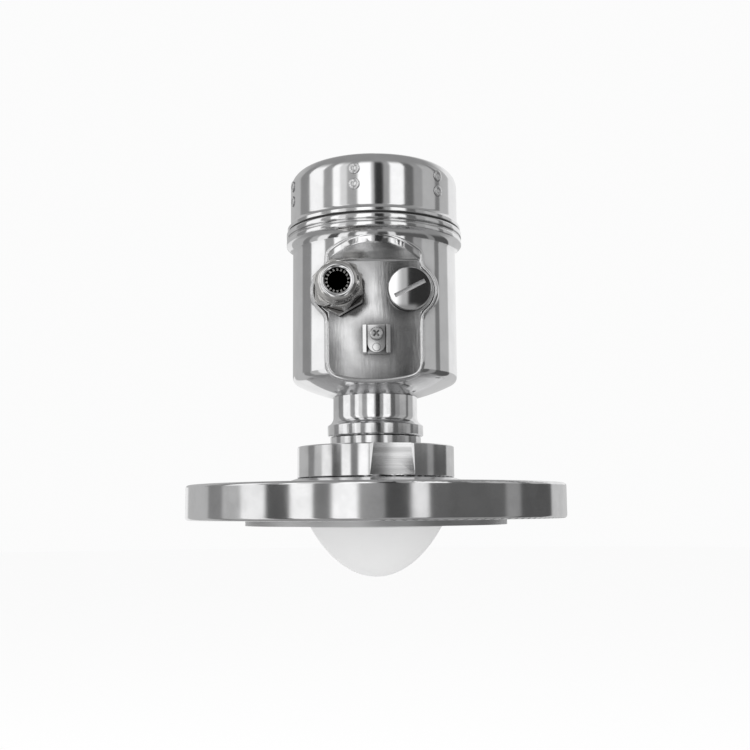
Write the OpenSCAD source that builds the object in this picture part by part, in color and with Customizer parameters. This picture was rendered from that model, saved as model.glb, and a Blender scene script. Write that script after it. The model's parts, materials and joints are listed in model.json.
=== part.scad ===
// Radar level transmitter with a polished housing, a bolted flange and a domed lens antenna.
// Millimetres. +Z up along the axis of the antenna, z = 0 on the flange's lower face, front is -Y.

/* [Process flange] */
// Outer diameter of the flange
flange_d = 200; // [190:1:240]
// Thickness of the flange plate
flange_t = 18; // [16:0.5:24]
// Rounding of the rim's two edges
flange_round = 1.6; // [0.5:0.1:3]
// Diameter of the raised sealing face
face_d = 138; // [128:1:141]
// Height of the raised sealing face
face_h = 3; // [2:0.5:5]
// Diameter of the bolt circle
bolt_circle_d = 160; // [158:1:176]
// Diameter of a bolt hole
bolt_d = 18; // [12:1:20]
// Number of bolt holes
bolt_count = 8; // [4:1:12]
// Diameter at the foot of the hub
hub_d = 106; // [98:1:116]
// Height of the hub
hub_h = 3.5; // [2:0.5:12]

/* [Antenna] */
// Diameter of the lens where it leaves the flange
lens_d = 69.6; // [60:0.2:72]
// Depth of the lens below the sealing face
lens_drop = 27.1; // [20:0.1:34]
// Squareness of the lens's ellipse: 1 is a sphere, 0 a parabola
lens_q = 0.25; // [0.05:0.05:1]
// Height of the plain lip at the top of the lens
lens_lip = 1; // [0.5:0.1:2]
// Height of the ledge in the flange that carries the lens
ledge_h = 6; // [4:0.5:8]
// How far the lens's shoulder stands out over the ledge
shoulder_w = 3.6; // [3:0.1:3.8]
// Thickness of the lens's shoulder
shoulder_t = 4.5; // [3:0.5:6]
// Thickness of the cord of the lens seal
lens_seal_d = 1.4; // [1:0.1:1.8]
// Diameter of the collar above the flange
collar_d = 83.6; // [82:0.2:94]
// Height of the collar
collar_h = 16.6; // [12:0.2:24]
// Width of the flat milled on the collar
mark_w = 23; // [10:1:30]
// Turn of that flat from the front
mark_turn = 12; // [0:1:60]
// Height of the lip left under the flat
mark_lip = 0.8; // [0.6:0.1:3]
// Wall between horn and spigot of the antenna body
horn_wall = 5; // [3:0.5:8]
// Diameter of the waveguide
guide_d = 2.6; // [2:0.1:4]
// Wall of the waveguide tube
guide_wall = 1.2; // [0.8:0.1:2]
// Thickness of metal above the horn's throat
throat_t = 6; // [5:0.5:8]

/* [Neck] */
// Diameter of the adapter's ring
adapter_d = 48.6; // [46:0.2:60]
// Height of the adapter's ring
adapter_h = 5.3; // [4:0.1:8]
// Depth of the adapter's foot in the antenna body
foot_h = 3; // [2:0.5:3.5]
// Diameter of the spigot that the housing turns on
spigot_d = 34.1; // [32:0.1:36]
// Diameter of the bore of the adapter
adapter_bore_d = 26; // [24:0.2:27]
// Diameter of the ring at the foot of the housing's neck
neck_ring_d = 51.2; // [48:0.2:60]
// Height of that ring
neck_ring_h = 5.9; // [4:0.1:9]
// Height of the flare above that ring
flare_h = 4.3; // [3:0.1:6]
// Diameter of the neck
neck_d = 45; // [43.5:0.5:50]
// Height of the plain part of the neck
neck_h = 10.6; // [9:0.2:20]
// Chamfer on the edges of the two rings
ring_chamfer = 0.5; // [0.2:0.1:1]
// Axial gap under the housing's neck
swivel_gap = 0.3; // [0.2:0.1:0.8]
// Cord thickness of the two swivel seals
swivel_seal_d = 1.8; // [1.2:0.1:2]
// Thickness of the snap ring
snap_t = 1.2; // [0.8:0.1:1.6]
// Diameter of the set screw
set_screw_d = 5; // [4:0.5:6]
// Length of the set screw
set_screw_l = 4; // [3:0.2:4.4]

/* [Housing] */
// Outer diameter of the pot
body_d = 88.5; // [86:0.5:100]
// Wall of the pot
wall = 2; // [1.5:0.1:2.5]
// Radius of the dished bottom
dish_r = 94; // [80:1:120]
// Radius between dish and side
knuckle_r = 4.5; // [4:0.1:8]
// Height of the straight side above the knuckle, to the foot of the rim
side_h = 67; // [64:0.5:90]
// Radius of the flare under the rim
rim_flare_r = 5; // [4:0.2:7]
// How far the rim stands out from the side
rim_w = 3.45; // [2.8:0.05:4]
// Height of the rim
rim_h = 6.5; // [5:0.1:10]
// How far the front panel lies inside the pot's side
panel_in = 7.05; // [5.25:0.05:8.25]
// Slope of the face above the panel
slope = 48; // [40:1:55]
// Plain side left between that slope and the rim's flare
slope_drop = 2.8; // [1:0.1:6]
// Rounding of the panel's upright edges and of the bosses
ridge_r = 3.6; // [1:0.1:5]
// Fillet between panel and slope
crease_r = 3; // [1:0.1:5]
// Height of the entries below the rim's top
entry_drop = 37.8; // [36:0.1:40]
// Sideways distance of each entry from the middle
entry_x = 18; // [17:0.1:19]
// Diameter of a boss's flat face
boss_d = 26.8; // [26:0.1:29]
// Depth of a boss's flared skirt
skirt_h = 10; // [9.6:0.2:12]
// How far a skirt flares
skirt_w = 2.5; // [1.5:0.1:2.6]
// Thread length in a boss
boss_depth = 9.5; // [8:0.5:11]
// Diameter of the M20 entry bore
entry_d = 20; // [18:0.5:21]

/* [Lid] */
// How far the lid's side stands out over the pot's side
lid_out = 1.25; // [0.75:0.05:2]
// How far the lid's foot stands out over the lid's side
foot_out = 1.7; // [1.5:0.1:2.9]
// Height of the lid
lid_h = 34.3; // [30:0.1:45]
// Height of the plain foot
foot_band_h = 2.4; // [2:0.1:4]
// Height of the flare above the foot
foot_flare_h = 3; // [2:0.1:6]
// Rounding of the lid's top edge
lid_round = 9; // [4:0.5:10]
// Wall of the lid
lid_wall = 2; // [1.5:0.1:2.2]
// Height of the threaded spigot in the lid
thread_h = 10; // [8:0.5:14]
// Wall of that spigot
thread_wall = 2.4; // [2:0.1:3.5]
// Cord thickness of the lid's seal
lid_seal_d = 1.4; // [1:0.1:1.6]
// Diameter of a nub
nub_d = 5.8; // [4:0.2:8]
// How far a nub stands out
nub_h = 0.4; // [0.2:0.1:0.8]
// Heights of the two rows of nubs above the lid's foot
nub_rows = [15.7, 23.9];
// Number of nub pairs
nub_count = 6; // [3:1:12]
// Turn of the first pair from the front
nub_turn = -12.5; // [-30:0.5:30]

/* [Cable gland] */
// Width across flats of the gland body
gland_af = 24; // [23.5:0.5:25]
// Thickness of its hexagon
gland_hex_h = 5; // [4:0.5:7]
// Width across flats of the cap nut
nut_af = 22.4; // [22:0.2:24]
// Length of the cap nut's hexagon
nut_hex_h = 11; // [9:0.5:12]
// Length of the cap nut's round nose
nut_nose_h = 5.7; // [4:0.1:6]
// Diameter of the ring at the front of the nose
nose_d = 17.4; // [16:0.2:19]
// Diameter of the cap nut's mouth
mouth_d = 12.9; // [12:0.1:13.6]
// Turn of the cap nut's hexagon
nut_turn = 15; // [0:1:59]
// Diameter of the barrel inside the cap nut
barrel_d = 18; // [17.6:0.1:18.4]
// Wall of the barrel
barrel_wall = 1; // [0.7:0.1:1.1]
// Number of claws in the cage
claw_count = 18; // [12:1:20]
// Width of a slot between claws
claw_gap = 0.7; // [0.4:0.1:0.9]
// Hole for the cable
cable_d = 9.4; // [7:0.2:9.8]
// Cord thickness of the gland's seal
gland_seal_d = 1.5; // [1:0.1:2]

/* [Blind plug] */
// Diameter of the plug's head
plug_d = 22.3; // [21.6:0.1:25]
// Thickness of the plug's head
plug_head_h = 3.2; // [2.8:0.1:5]
// Length of the slot
slot_l = 17; // [12:0.5:19]
// Width of the slot
slot_w = 2; // [1:0.1:3]
// Depth of the slot
slot_h = 1.8; // [1:0.1:2.2]
// Turn of the slot from level
slot_turn = 26.6; // [-90:0.2:90]
// Cord thickness of the plug's seal
plug_seal_d = 1.1; // [0.8:0.1:1.4]

/* [Outer earth terminal] */
// Sideways place of the terminal
ground_x = 0.9; // [-2:0.1:2]
// Height of the clamp screw below the entries
ground_drop = 23.6; // [23:0.1:26]
// Width of the bracket
bracket_w = 14.2; // [13.6:0.2:18]
// Height of the bracket
bracket_h = 14.5; // [13.5:0.5:18]
// Depth of the bracket's sides
bracket_depth = 6; // [5:0.5:8]
// Thickness of the bracket's sides
bracket_side = 2.2; // [1.5:0.1:2.2]
// Thickness of the bracket's back
bracket_back = 1.5; // [1:0.1:2.5]
// Width of the clamp plate
clamp_w = 9.2; // [8.6:0.1:9.4]
// Thickness of the clamp plate
clamp_t = 1.8; // [1.2:0.1:2.5]
// Space left for the wire behind the clamp plate
wire_gap = 1.4; // [0.8:0.1:2]
// Diameter of the earth screw
earth_d = 4; // [3:0.5:4]
// Diameter of its head
earth_head_d = 6.4; // [5.6:0.1:7]
// Height of its head
earth_head_h = 2.6; // [2:0.1:4]
// Thickness of the spring washer
washer_t = 0.9; // [0.5:0.1:1.2]

/* [Electronics] */
// Space between the electronics can and the pot's wall
can_gap = 6.25; // [5.25:0.25:9]
// Height of the electronics can
can_h = 24; // [18:0.5:25]
// Diameter of a post under the can
post_d = 8; // [7:0.5:9]
// Distance of a post's middle from the can's side
post_in = 7; // [6:0.5:9]
// Depth of the thread in a post
post_thread = 6; // [5.5:0.5:8]
// Diameter of a module screw
module_screw_d = 3; // [2.5:0.1:4]
// Width of the terminal block
block_w = 40; // [30:1:42]
// Depth of the terminal block
block_d = 13; // [10:0.5:18]
// Height of the pull-off terminal plug
block_h = 12; // [9:0.5:14]
// Height of its header
header_h = 6; // [4:0.5:8]
// Number of terminals
terminal_count = 5; // [2:1:7]
// Diameter of a contact pin
pin_d = 1.2; // [0.8:0.1:1.6]
// Diameter of the radar module
rf_d = 25.4; // [23:0.1:25.6]
// Height of the clamp ring over the radar module
clamp_ring_h = 2.5; // [2:0.1:4]

/* [Hidden] */
$fn = 96;

// Clearances, each side: pieces fixed together, pieces that turn in each other, loose threads, seals.
fit = 0.15;
slip = 0.05;
loose = 0.3;
seal_fit = 0.02;
// Overlap that keeps a cut clear of the surface it starts from.
cut = 1;
// How far a rounding's arc passes over the faces it joins, so that it crosses them.
crossing = 0.01;

// Levels along the axis
flange_bottom = 0;
face_z = flange_bottom - face_h;
ledge_z = face_z + ledge_h;
flange_top = flange_bottom + flange_t;
hub_top = flange_top + hub_h;
collar_top = hub_top + collar_h;
adapter_top = collar_top + adapter_h;
neck_bottom = adapter_top + swivel_gap;
neck_ring_top = neck_bottom + neck_ring_h;
flare_top = neck_ring_top + flare_h;
neck_top = flare_top + neck_h;
shoulder_top = ledge_z + shoulder_t;

// Lens and horn
lens_r = lens_d / 2;
lens_tip_r = (pow(lens_r, 2) + lens_q * pow(lens_drop, 2)) / (2 * lens_drop);
lens_steps = 30;
shoulder_r = lens_r + shoulder_w;
counterbore_r = shoulder_r + fit;
horn_r = counterbore_r - fit - horn_wall;
throat_z = collar_top - throat_t;
tube_r = guide_d / 2 + guide_wall;
coupler_h = 4;
coupler_r = 1.6 * guide_d / 2 + 0.4;

// Neck
foot_d = spigot_d + 2;
spigot_r = spigot_d / 2;
neck_bore_r = spigot_r + slip;
adapter_bore_r = adapter_bore_d / 2;
floor_z = adapter_top - 2;
seal_depth = swivel_seal_d - 2 * seal_fit;
neck_boss_top = neck_top + 4;
snap_z = neck_boss_top + swivel_gap;
snap_groove = 1;
spigot_top = snap_z + snap_t + 2;
lock_z = flare_top + neck_h / 2;
lock_groove = 1;
lock_tip_r = 0.26 * set_screw_d;
pad_in = spigot_r - lock_groove + 2 * slip + seal_fit + 0.1;
set_screw_in = neck_d / 2 - set_screw_l - 0.2;
swivel_seal_z = [neck_bottom + neck_ring_h * 0.45, neck_ring_top + flare_h * 0.7];
rf_top = spigot_top - clamp_ring_h - 3;

// Pot
body_r = body_d / 2;
panel_y = body_r - panel_in;
dish_span = dish_r - knuckle_r;
knuckle_x = body_r - knuckle_r;
dish_fall = sqrt(pow(dish_span, 2) - pow(knuckle_x, 2));
dish_z = neck_top + sqrt(pow(dish_r, 2) - pow(neck_d / 2, 2));
knuckle_z = dish_z - dish_fall;
rim_r = body_r + rim_w;
flare_z = knuckle_z + side_h;
rim_z = flare_z + sqrt(pow(rim_flare_r, 2) - pow(rim_flare_r - rim_w, 2));
rim_top = rim_z + rim_h;
entry_z = rim_top - entry_drop;
boss_r = boss_d / 2;
bore_r = entry_d / 2;
slope_run = panel_in;
slope_z = flare_z - slope_drop - slope_run * tan(slope);

// Lid
lid_r = body_r + lid_out;
lid_foot_r = lid_r + foot_out;
thread_r = lid_r - lid_wall - loose;
lid_seal_r = thread_r + loose + lid_seal_d / 2;
lid_bottom = rim_top + loose;
lid_top = rim_top + lid_h;
lid_seal_z = lid_bottom + foot_band_h / 2 + lid_seal_d / 2;
lid_groove_top = lid_seal_z + lid_seal_d / 2 + slip;

// Gland, along its own axis from the face of the boss
gland_seat = gland_seal_d + seal_fit;
gland_hex_top = gland_seat + gland_hex_h;
gland_collar_h = 1;
nut_bottom = gland_hex_top + gland_collar_h + loose;
nut_hex_top = nut_bottom + nut_hex_h;
nut_top = nut_hex_top + nut_nose_h;
barrel_r = barrel_d / 2;
barrel_top = nut_hex_top - 2.5;
cage_r = barrel_r - barrel_wall - slip;
cage_seat = gland_hex_top - 1;
cage_wall = 1.3;
mouth_r = mouth_d / 2;
cage_top = nut_top - 1.2;
claw_bend = barrel_top - 1;
claw_root = cage_seat + 0.45 * (cage_top - cage_seat);
insert_r = cage_r - cage_wall - slip;
gland_bore_r = cage_r - 1;

// Blind plug
plug_seat = plug_seal_d + seal_fit;
plug_r = plug_d / 2;

// Earth terminal, along its own axis from the panel
ground_z = entry_z - ground_drop;
bracket_top = ground_z + 4.9;
clamp_seat = bracket_back + wire_gap;
earth_boss_h = bracket_back + wire_gap * 0.6;
clamp_face = clamp_seat + clamp_t;
head_seat = clamp_face + washer_t;
earth_screw_in = 0.6;

// Electronics
post_top = spigot_top + 5;
post_r = post_d / 2;
can_r = body_r - wall - can_gap;
post_circle_r = can_r - post_in;
can_top = post_top + can_h;
can_front = panel_y - wall - 3;
lug_t = 4;
header_z = can_top;
plug_z = header_z + header_h + loose;
block_y = 6;
pin_gap = block_w / (terminal_count + 1);
pin_z = header_z + header_h - 2;
pin_h = 8;

steel = [0.80, 0.80, 0.81];
polished = [0.88, 0.88, 0.89];
nickel = [0.84, 0.83, 0.80];
brass = [0.80, 0.65, 0.35];
ptfe = [0.93, 0.93, 0.92];
black = [0.07, 0.07, 0.07];
potting = [0.16, 0.17, 0.19];
green = [0.18, 0.45, 0.28];

// What a rounding takes off the corner at (x, y); sx and sy point from the corner into the material.
module corner_waste(x, y, r, sx, sy) {
    translate([x, y])
        mirror([sx < 0 ? 1 : 0, 0])
            mirror([0, sy < 0 ? 1 : 0])
                difference() {
                    translate([-cut, -cut]) square(r + cut);
                    translate([r, r]) circle(r);
                }
}

// What a rounding of radius r takes off the corner p, whose edges leave it at angles a1 and a2.
module corner_cut(p, a1, a2, r) {
    half = (a2 - a1) / 2;
    along = r / tan(half);
    mid = [cos(a1 + half), sin(a1 + half)];
    d1 = [cos(a1), sin(a1)];
    d2 = [cos(a2), sin(a2)];
    out1 = cut * [sin(a1), -cos(a1)];
    out2 = cut * [-sin(a2), cos(a2)];
    centre = p + mid * r / sin(half);
    difference() {
        polygon([centre, p + along * d1, p + along * d1 + out1, p + out1 - cut * mid, p + out2 - cut * mid,
            p + along * d2 + out2, p + along * d2]);
        translate(centre) circle(r + crossing);
    }
}

// Section of a turned ring from radius r1 to r2 and from z1 to z2, chamfered by c on its outer edges.
module ring_section(r1, r2, z1, z2, c = 0) {
    polygon([[r1, z1], [r2 - c, z1], [r2, z1 + c], [r2, z2 - c], [r2 - c, z2], [r1, z2]]);
}

// A round cord of thickness d, laid in a ring of radius r at height z.
module cord_ring(r, z, d) {
    rotate_extrude() translate([r, z]) circle(d / 2);
}

// A hexagon of width af from z1 to z2, one corner down, with its corners turned off at both ends.
module hexagon(af, z1, z2, c) {
    intersection() {
        translate([0, 0, z1]) rotate([0, 0, 30]) cylinder(r = af / sqrt(3), h = z2 - z1, $fn = 6);
        rotate_extrude() ring_section(0, af / sqrt(3), z1, z2, c);
    }
}

// Puts a piece on an entry or on the panel: its own z then runs outward from the panel.
module on_panel(x, z) {
    translate([x, -panel_y, z]) rotate([90, 0, 0]) children();
}

module process_flange() {
    color(steel) difference() {
        rotate_extrude() difference() {
            union() {
                translate([0, flange_bottom]) square([flange_d / 2, flange_t]);
                translate([0, face_z]) square([face_d / 2, face_h + 0.5]);
                polygon([[0, flange_top - 0.5], [hub_d / 2, flange_top - 0.5], [hub_d / 2, flange_top],
                    [collar_d / 2, hub_top], [0, hub_top]]);
            }
            corner_waste(flange_d / 2, flange_bottom, flange_round, -1, 1);
            corner_waste(flange_d / 2, flange_top, flange_round, -1, -1);
            translate([-cut, face_z - cut]) square([lens_r + fit + cut, ledge_h + 2 * cut]);
            translate([-cut, ledge_z]) square([counterbore_r + cut, hub_top]);
            translate([lens_r + shoulder_w / 2 + fit - lens_seal_d / 2 - 0.1, ledge_z - lens_seal_d])
                square([lens_seal_d + 0.2, lens_seal_d + cut]);
        }
        for (i = [0 : bolt_count - 1])
            rotate([0, 0, (i + 0.5) * 360 / bolt_count])
                translate([bolt_circle_d / 2, 0, flange_bottom - cut])
                    cylinder(d = bolt_d, h = flange_t + 2 * cut);
    }
}

module antenna_body() {
    flat_y = sqrt(pow(collar_d / 2, 2) - pow(mark_w / 2, 2));
    color(polished) difference() {
        rotate_extrude() difference() {
            union() {
                translate([0, shoulder_top]) square([counterbore_r - fit, hub_top - shoulder_top + 0.5]);
                translate([0, hub_top]) ring_section(0, collar_d / 2, 0, collar_h, ring_chamfer);
            }
            polygon([[0, shoulder_top - cut], [horn_r, shoulder_top - cut], [horn_r, shoulder_top],
                [guide_d / 2, throat_z], [0, throat_z]]);
            translate([-cut, throat_z - cut]) square([guide_d / 2 + cut, throat_t + 2 * cut]);
            translate([-cut, throat_z + 2]) square([tube_r + slip + cut, throat_t]);
            translate([-cut, collar_top - foot_h]) square([foot_d / 2 + fit + cut, foot_h + cut]);
        }
        rotate([0, 0, mark_turn - 90])
            translate([flat_y, -collar_d, hub_top + mark_lip])
                cube([collar_d, 2 * collar_d, collar_h]);
    }
}

function lens_depth(x) = x * x / (lens_tip_r + sqrt(pow(lens_tip_r, 2) - lens_q * x * x));

module lens() {
    dome_r = lens_r;
    dome = [for (i = [0 : lens_steps])
        let (x = dome_r * sin(90 * i / lens_steps))
        [x, face_z - lens_lip - (lens_drop - lens_lip) * (1 - lens_depth(x) / lens_depth(dome_r))]];
    color(ptfe) rotate_extrude() union() {
        polygon(concat([[0, face_z]], dome, [[lens_r, face_z]]));
        translate([0, face_z]) square([lens_r, shoulder_top - face_z]);
        translate([0, ledge_z]) ring_section(0, shoulder_r, 0, shoulder_t, 0.4);
    }
}

module lens_seal() {
    color(black)
        cord_ring(lens_r + shoulder_w / 2 + fit, ledge_z - lens_seal_d / 2, lens_seal_d - 2 * seal_fit);
}

module wave_coupler() {
    color(ptfe) rotate_extrude()
        polygon([[0, throat_z - coupler_h], [guide_d / 2 - slip, throat_z - 0.4],
            [guide_d / 2 - slip, throat_z + 1.9], [0, throat_z + 1.9]]);
}

module waveguide_tube() {
    color(brass) translate([0, 0, throat_z + 2]) rotate_extrude()
        ring_section(guide_d / 2, tube_r, 0, floor_z - throat_z - 2, 0.2);
}

module process_adapter() {
    color(polished) rotate_extrude() difference() {
        union() {
            translate([0, collar_top - foot_h]) square([foot_d / 2, foot_h + 1]);
            translate([0, collar_top]) ring_section(0, adapter_d / 2, 0, adapter_h, ring_chamfer);
            translate([0, adapter_top - 1]) ring_section(0, spigot_r, 0, spigot_top - adapter_top + 1, 0.6);
        }
        translate([-cut, floor_z]) square([adapter_bore_r + cut, spigot_top]);
        translate([-cut, 0]) square([tube_r + slip + cut, spigot_top]);
        for (z = swivel_seal_z)
            translate([spigot_r - seal_depth, z - swivel_seal_d / 2 - 0.2])
                square([seal_depth + cut, swivel_seal_d + 0.4]);
        translate([spigot_r - lock_groove, lock_z - lock_tip_r - 0.4])
            square([lock_groove + cut, 2 * lock_tip_r + 0.8]);
        translate([spigot_r - snap_groove, snap_z - slip])
            square([snap_groove + cut, snap_t + 2 * slip]);
    }
}

module rf_module() {
    color(potting) difference() {
        rotate_extrude() difference() {
            translate([0, floor_z]) ring_section(0, rf_d / 2, 0, rf_top - floor_z, 0.6);
            translate([-cut, rf_top - 4]) square([2.5 + cut, 4 + cut]);
        }
        for (a = [0 : 90 : 270])
            rotate([0, 0, a]) translate([rf_d / 3, 0, rf_top - 2]) cylinder(d = 3, h = 2 + cut);
    }
}

module rf_clamp_ring() {
    color(brass) difference() {
        translate([0, 0, rf_top]) rotate_extrude()
            ring_section(adapter_bore_r - 4, adapter_bore_r - slip, 0, clamp_ring_h, 0.3);
        for (a = [0, 180])
            rotate([0, 0, a]) translate([adapter_bore_r - 4 - cut, -1, rf_top + clamp_ring_h - 1])
                cube([4 + 2 * cut, 2, 1 + cut]);
    }
}

module swivel_seals() {
    color(black) for (z = swivel_seal_z)
        cord_ring(spigot_r - swivel_seal_d / 2 + seal_fit, z, swivel_seal_d - 2 * seal_fit);
}

module swivel_ring() {
    gap = 7;
    color(steel) difference() {
        translate([0, 0, snap_z]) rotate_extrude()
            ring_section(spigot_r - snap_groove + slip, spigot_r + 2, 0, snap_t);
        translate([-gap / 2, 0, snap_z - cut]) cube([gap, 2 * spigot_r, snap_t + 2 * cut]);
    }
}

// Section of the pot's outside, inset by a wall, up to height top.
module pot_section(inset, top) {
    reach = 1.3;
    tip = [knuckle_x * reach * dish_r / dish_span, dish_z - dish_fall * reach * dish_r / dish_span];
    intersection() {
        translate([0, dish_z]) circle(dish_r - inset, $fn = 400);
        polygon([[0, knuckle_z + 1], [0, dish_z - dish_r * reach], tip, [knuckle_x, knuckle_z],
            [knuckle_x, knuckle_z + 1]]);
    }
    translate([knuckle_x, knuckle_z]) circle(knuckle_r - inset);
    translate([0, knuckle_z]) square([body_r - inset, top - knuckle_z]);
}

// Everything in front of the panel and its slope, moved back by an inset.
module front_waste(inset) {
    corner = [-panel_y + inset, slope_z - inset * tan(45 - slope / 2)];
    out = 40;
    translate([-body_d, 0, 0]) rotate([90, 0, 90]) linear_extrude(2 * body_d) difference() {
        polygon([[corner[0], 0], corner, corner + [-out, out * tan(slope)],
            corner + [-2 * out, out * tan(slope)], [corner[0] - 2 * out, 0]]);
        corner_cut(corner, 180 - slope, 270, crease_r + inset);
    }
}

// What the rounding of the panel's upright edges takes off the pot.
module ridge_waste() {
    turn = acos((panel_y - ridge_r) / (body_r - ridge_r));
    centre = [(body_r - ridge_r) * sin(turn), -(panel_y - ridge_r)];
    for (side = [0, 1])
        mirror([side, 0, 0]) linear_extrude(slope_z) difference() {
            polygon([centre, centre * 1.3, [centre[0], -body_r * 1.2]]);
            translate(centre) circle(ridge_r + crossing);
        }
}

module pot_outside() {
    difference() {
        rotate_extrude() {
            pot_section(0, rim_z + 1);
            difference() {
                translate([0, flare_z]) square([rim_r, rim_z - flare_z + 1]);
                translate([body_r + rim_flare_r, flare_z]) circle(rim_flare_r);
            }
            translate([0, rim_z]) square([rim_r, rim_h]);
            translate([0, rim_top - 1]) square([thread_r, thread_h + 1]);
        }
        front_waste(0);
        ridge_waste();
    }
}

module housing_neck() {
    flare_w = (neck_ring_d - neck_d) / 2 - ring_chamfer;
    flare_r = (pow(flare_h, 2) + pow(flare_w, 2)) / (2 * flare_w);
    color(polished) difference() {
        rotate_extrude() {
            translate([0, neck_bottom])
                ring_section(neck_bore_r, neck_ring_d / 2, 0, neck_ring_h, ring_chamfer);
            difference() {
                translate([neck_bore_r, neck_ring_top - 1])
                    square([neck_d / 2 + flare_w - neck_bore_r, flare_h + 1]);
                translate([neck_d / 2 + flare_r, flare_top]) circle(flare_r);
            }
            translate([neck_bore_r, flare_top - 1])
                square([neck_d / 2 - neck_bore_r, neck_boss_top - flare_top + 1]);
        }
        translate([0, 0, lock_z]) rotate([-90, 0, 0]) cylinder(d = set_screw_d, h = neck_d);
    }
}

module boss(side) {
    lean = atan(skirt_w / skirt_h);
    on_panel(side * entry_x, entry_z) {
        rotate_extrude() difference() {
            polygon([[0, -skirt_h], [boss_r + skirt_w, -skirt_h], [boss_r, 0], [0, 0]]);
            corner_cut([boss_r, 0], 180, 270 + lean, ridge_r / 2);
        }
    }
}

module pot_inside() {
    difference() {
        rotate_extrude() {
            pot_section(wall, rim_top);
            translate([0, rim_top - 2]) square([thread_r - thread_wall, thread_h + 2 + cut]);
        }
        front_waste(wall);
        for (side = [-1, 1])
            on_panel(side * entry_x, entry_z) translate([0, 0, -boss_depth])
                cylinder(r = boss_r, h = boss_depth + cut);
    }
}

module housing_bowl() {
    color(polished) difference() {
        union() {
            pot_outside();
            for (side = [-1, 1]) boss(side);
        }
        pot_inside();
        cylinder(r = neck_d / 2, h = neck_boss_top + cut);
        for (side = [-1, 1])
            on_panel(side * entry_x, entry_z) translate([0, 0, -boss_depth - cut])
                cylinder(r = bore_r, h = boss_depth + 2 * cut);
    }
}

module module_posts() {
    inner_r = dish_r - wall;
    color(polished) for (a = [90, 210, 330])
        rotate([0, 0, a]) difference() {
            intersection() {
                translate([post_circle_r, 0, neck_top]) cylinder(r = post_r, h = post_top - neck_top);
                translate([0, 0, dish_z]) sphere(inner_r, $fn = 400);
            }
            translate([post_circle_r, 0, post_top - post_thread])
                cylinder(d = module_screw_d + 2 * slip, h = post_thread + cut);
        }
}

module lock_pad() {
    color(brass) translate([0, 0, lock_z]) rotate([-90, 0, 0]) {
        translate([0, 0, pad_in]) cylinder(r = lock_tip_r, h = set_screw_in - pad_in);
        translate([0, 0, neck_bore_r + slip])
            cylinder(d = set_screw_d - 2 * slip, h = set_screw_in - neck_bore_r - slip);
    }
}

module set_screw() {
    color(steel) translate([0, 0, lock_z]) rotate([-90, 0, 0]) translate([0, 0, set_screw_in])
        difference() {
            rotate_extrude() ring_section(0, set_screw_d / 2 - slip, 0, set_screw_l, 0.3);
            translate([0, 0, set_screw_l / 2]) cylinder(d = set_screw_d * 0.58, h = set_screw_l, $fn = 6);
        }
}

module rf_pigtail() {
    color(brass) rotate_extrude() {
        translate([0, rf_top - 3.9]) ring_section(0, 2.5 - slip, 0, 5.5, 0.3);
        translate([0, rf_top]) square([1.1, post_top - rf_top]);
    }
}

module electronics_module() {
    color(potting) difference() {
        intersection() {
            translate([0, 0, post_top]) rotate_extrude() ring_section(0, can_r, 0, can_h, 1.5);
            translate([-can_r, -can_front, 0]) cube([2 * can_r, 2 * can_r, can_top]);
        }
        for (a = [90, 210, 330]) rotate([0, 0, a]) translate([post_circle_r, 0, 0]) {
            translate([0, 0, post_top - cut]) cylinder(d = module_screw_d + 2 * fit, h = can_h);
            translate([0, 0, post_top + lug_t]) cylinder(d = module_screw_d * 2.4, h = can_h);
        }
    }
}

module module_screws() {
    color(steel) for (a = [90, 210, 330])
        rotate([0, 0, a]) translate([post_circle_r, 0, post_top]) difference() {
            union() {
                translate([0, 0, -5]) cylinder(d = module_screw_d, h = lug_t + 6);
                translate([0, 0, lug_t]) cylinder(d = module_screw_d * 1.8, h = module_screw_d);
            }
            translate([0, 0, lug_t + module_screw_d / 2])
                cylinder(d = module_screw_d * 0.95, h = module_screw_d, $fn = 6);
        }
}

module terminal_header() {
    color(green) difference() {
        translate([-block_w / 2 - 1.5, block_y - block_d / 2, header_z]) cube([block_w + 3, block_d, header_h]);
        for (i = [1 : terminal_count])
            translate([-block_w / 2 + i * pin_gap, block_y, pin_z]) cylinder(d = pin_d, h = header_h);
    }
}

module contact_pins() {
    color(brass) for (i = [1 : terminal_count])
        translate([-block_w / 2 + i * pin_gap, block_y, pin_z]) cylinder(d = pin_d, h = pin_h);
}

module terminal_plug() {
    color(green) difference() {
        translate([-block_w / 2, block_y - block_d / 2, plug_z]) cube([block_w, block_d, block_h]);
        for (i = [1 : terminal_count]) translate([-block_w / 2 + i * pin_gap, block_y, 0]) {
            translate([0, 0, plug_z - cut]) cylinder(d = pin_d + 2 * slip, h = pin_z + pin_h + 2 - plug_z);
            translate([0, -block_d / 2 + 4, plug_z + block_h / 2]) rotate([90, 0, 0])
                cylinder(d = 3, h = 4 + cut);
            translate([-1.2, 1, plug_z + block_h - 3]) cube([2.4, 2.4, 3 + cut]);
        }
    }
}

module inner_earth_tab() {
    tab_z = can_top + 8;
    foot = 1.2;
    inner_r = body_r - wall;
    color(brass) difference() {
        union() {
            intersection() {
                rotate_extrude() ring_section(inner_r - foot - slip, inner_r - slip, tab_z, tab_z + 12);
                translate([0, inner_r - 4, tab_z]) translate([-5, 0, 0]) cube([10, 10, 12]);
            }
            translate([-3.15, inner_r - 9, tab_z]) cube([6.3, 9 - foot / 2 - 0.3, 0.8]);
        }
        translate([0, inner_r - 6.5, tab_z - cut]) cylinder(d = 1.6, h = 3);
    }
}

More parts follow.
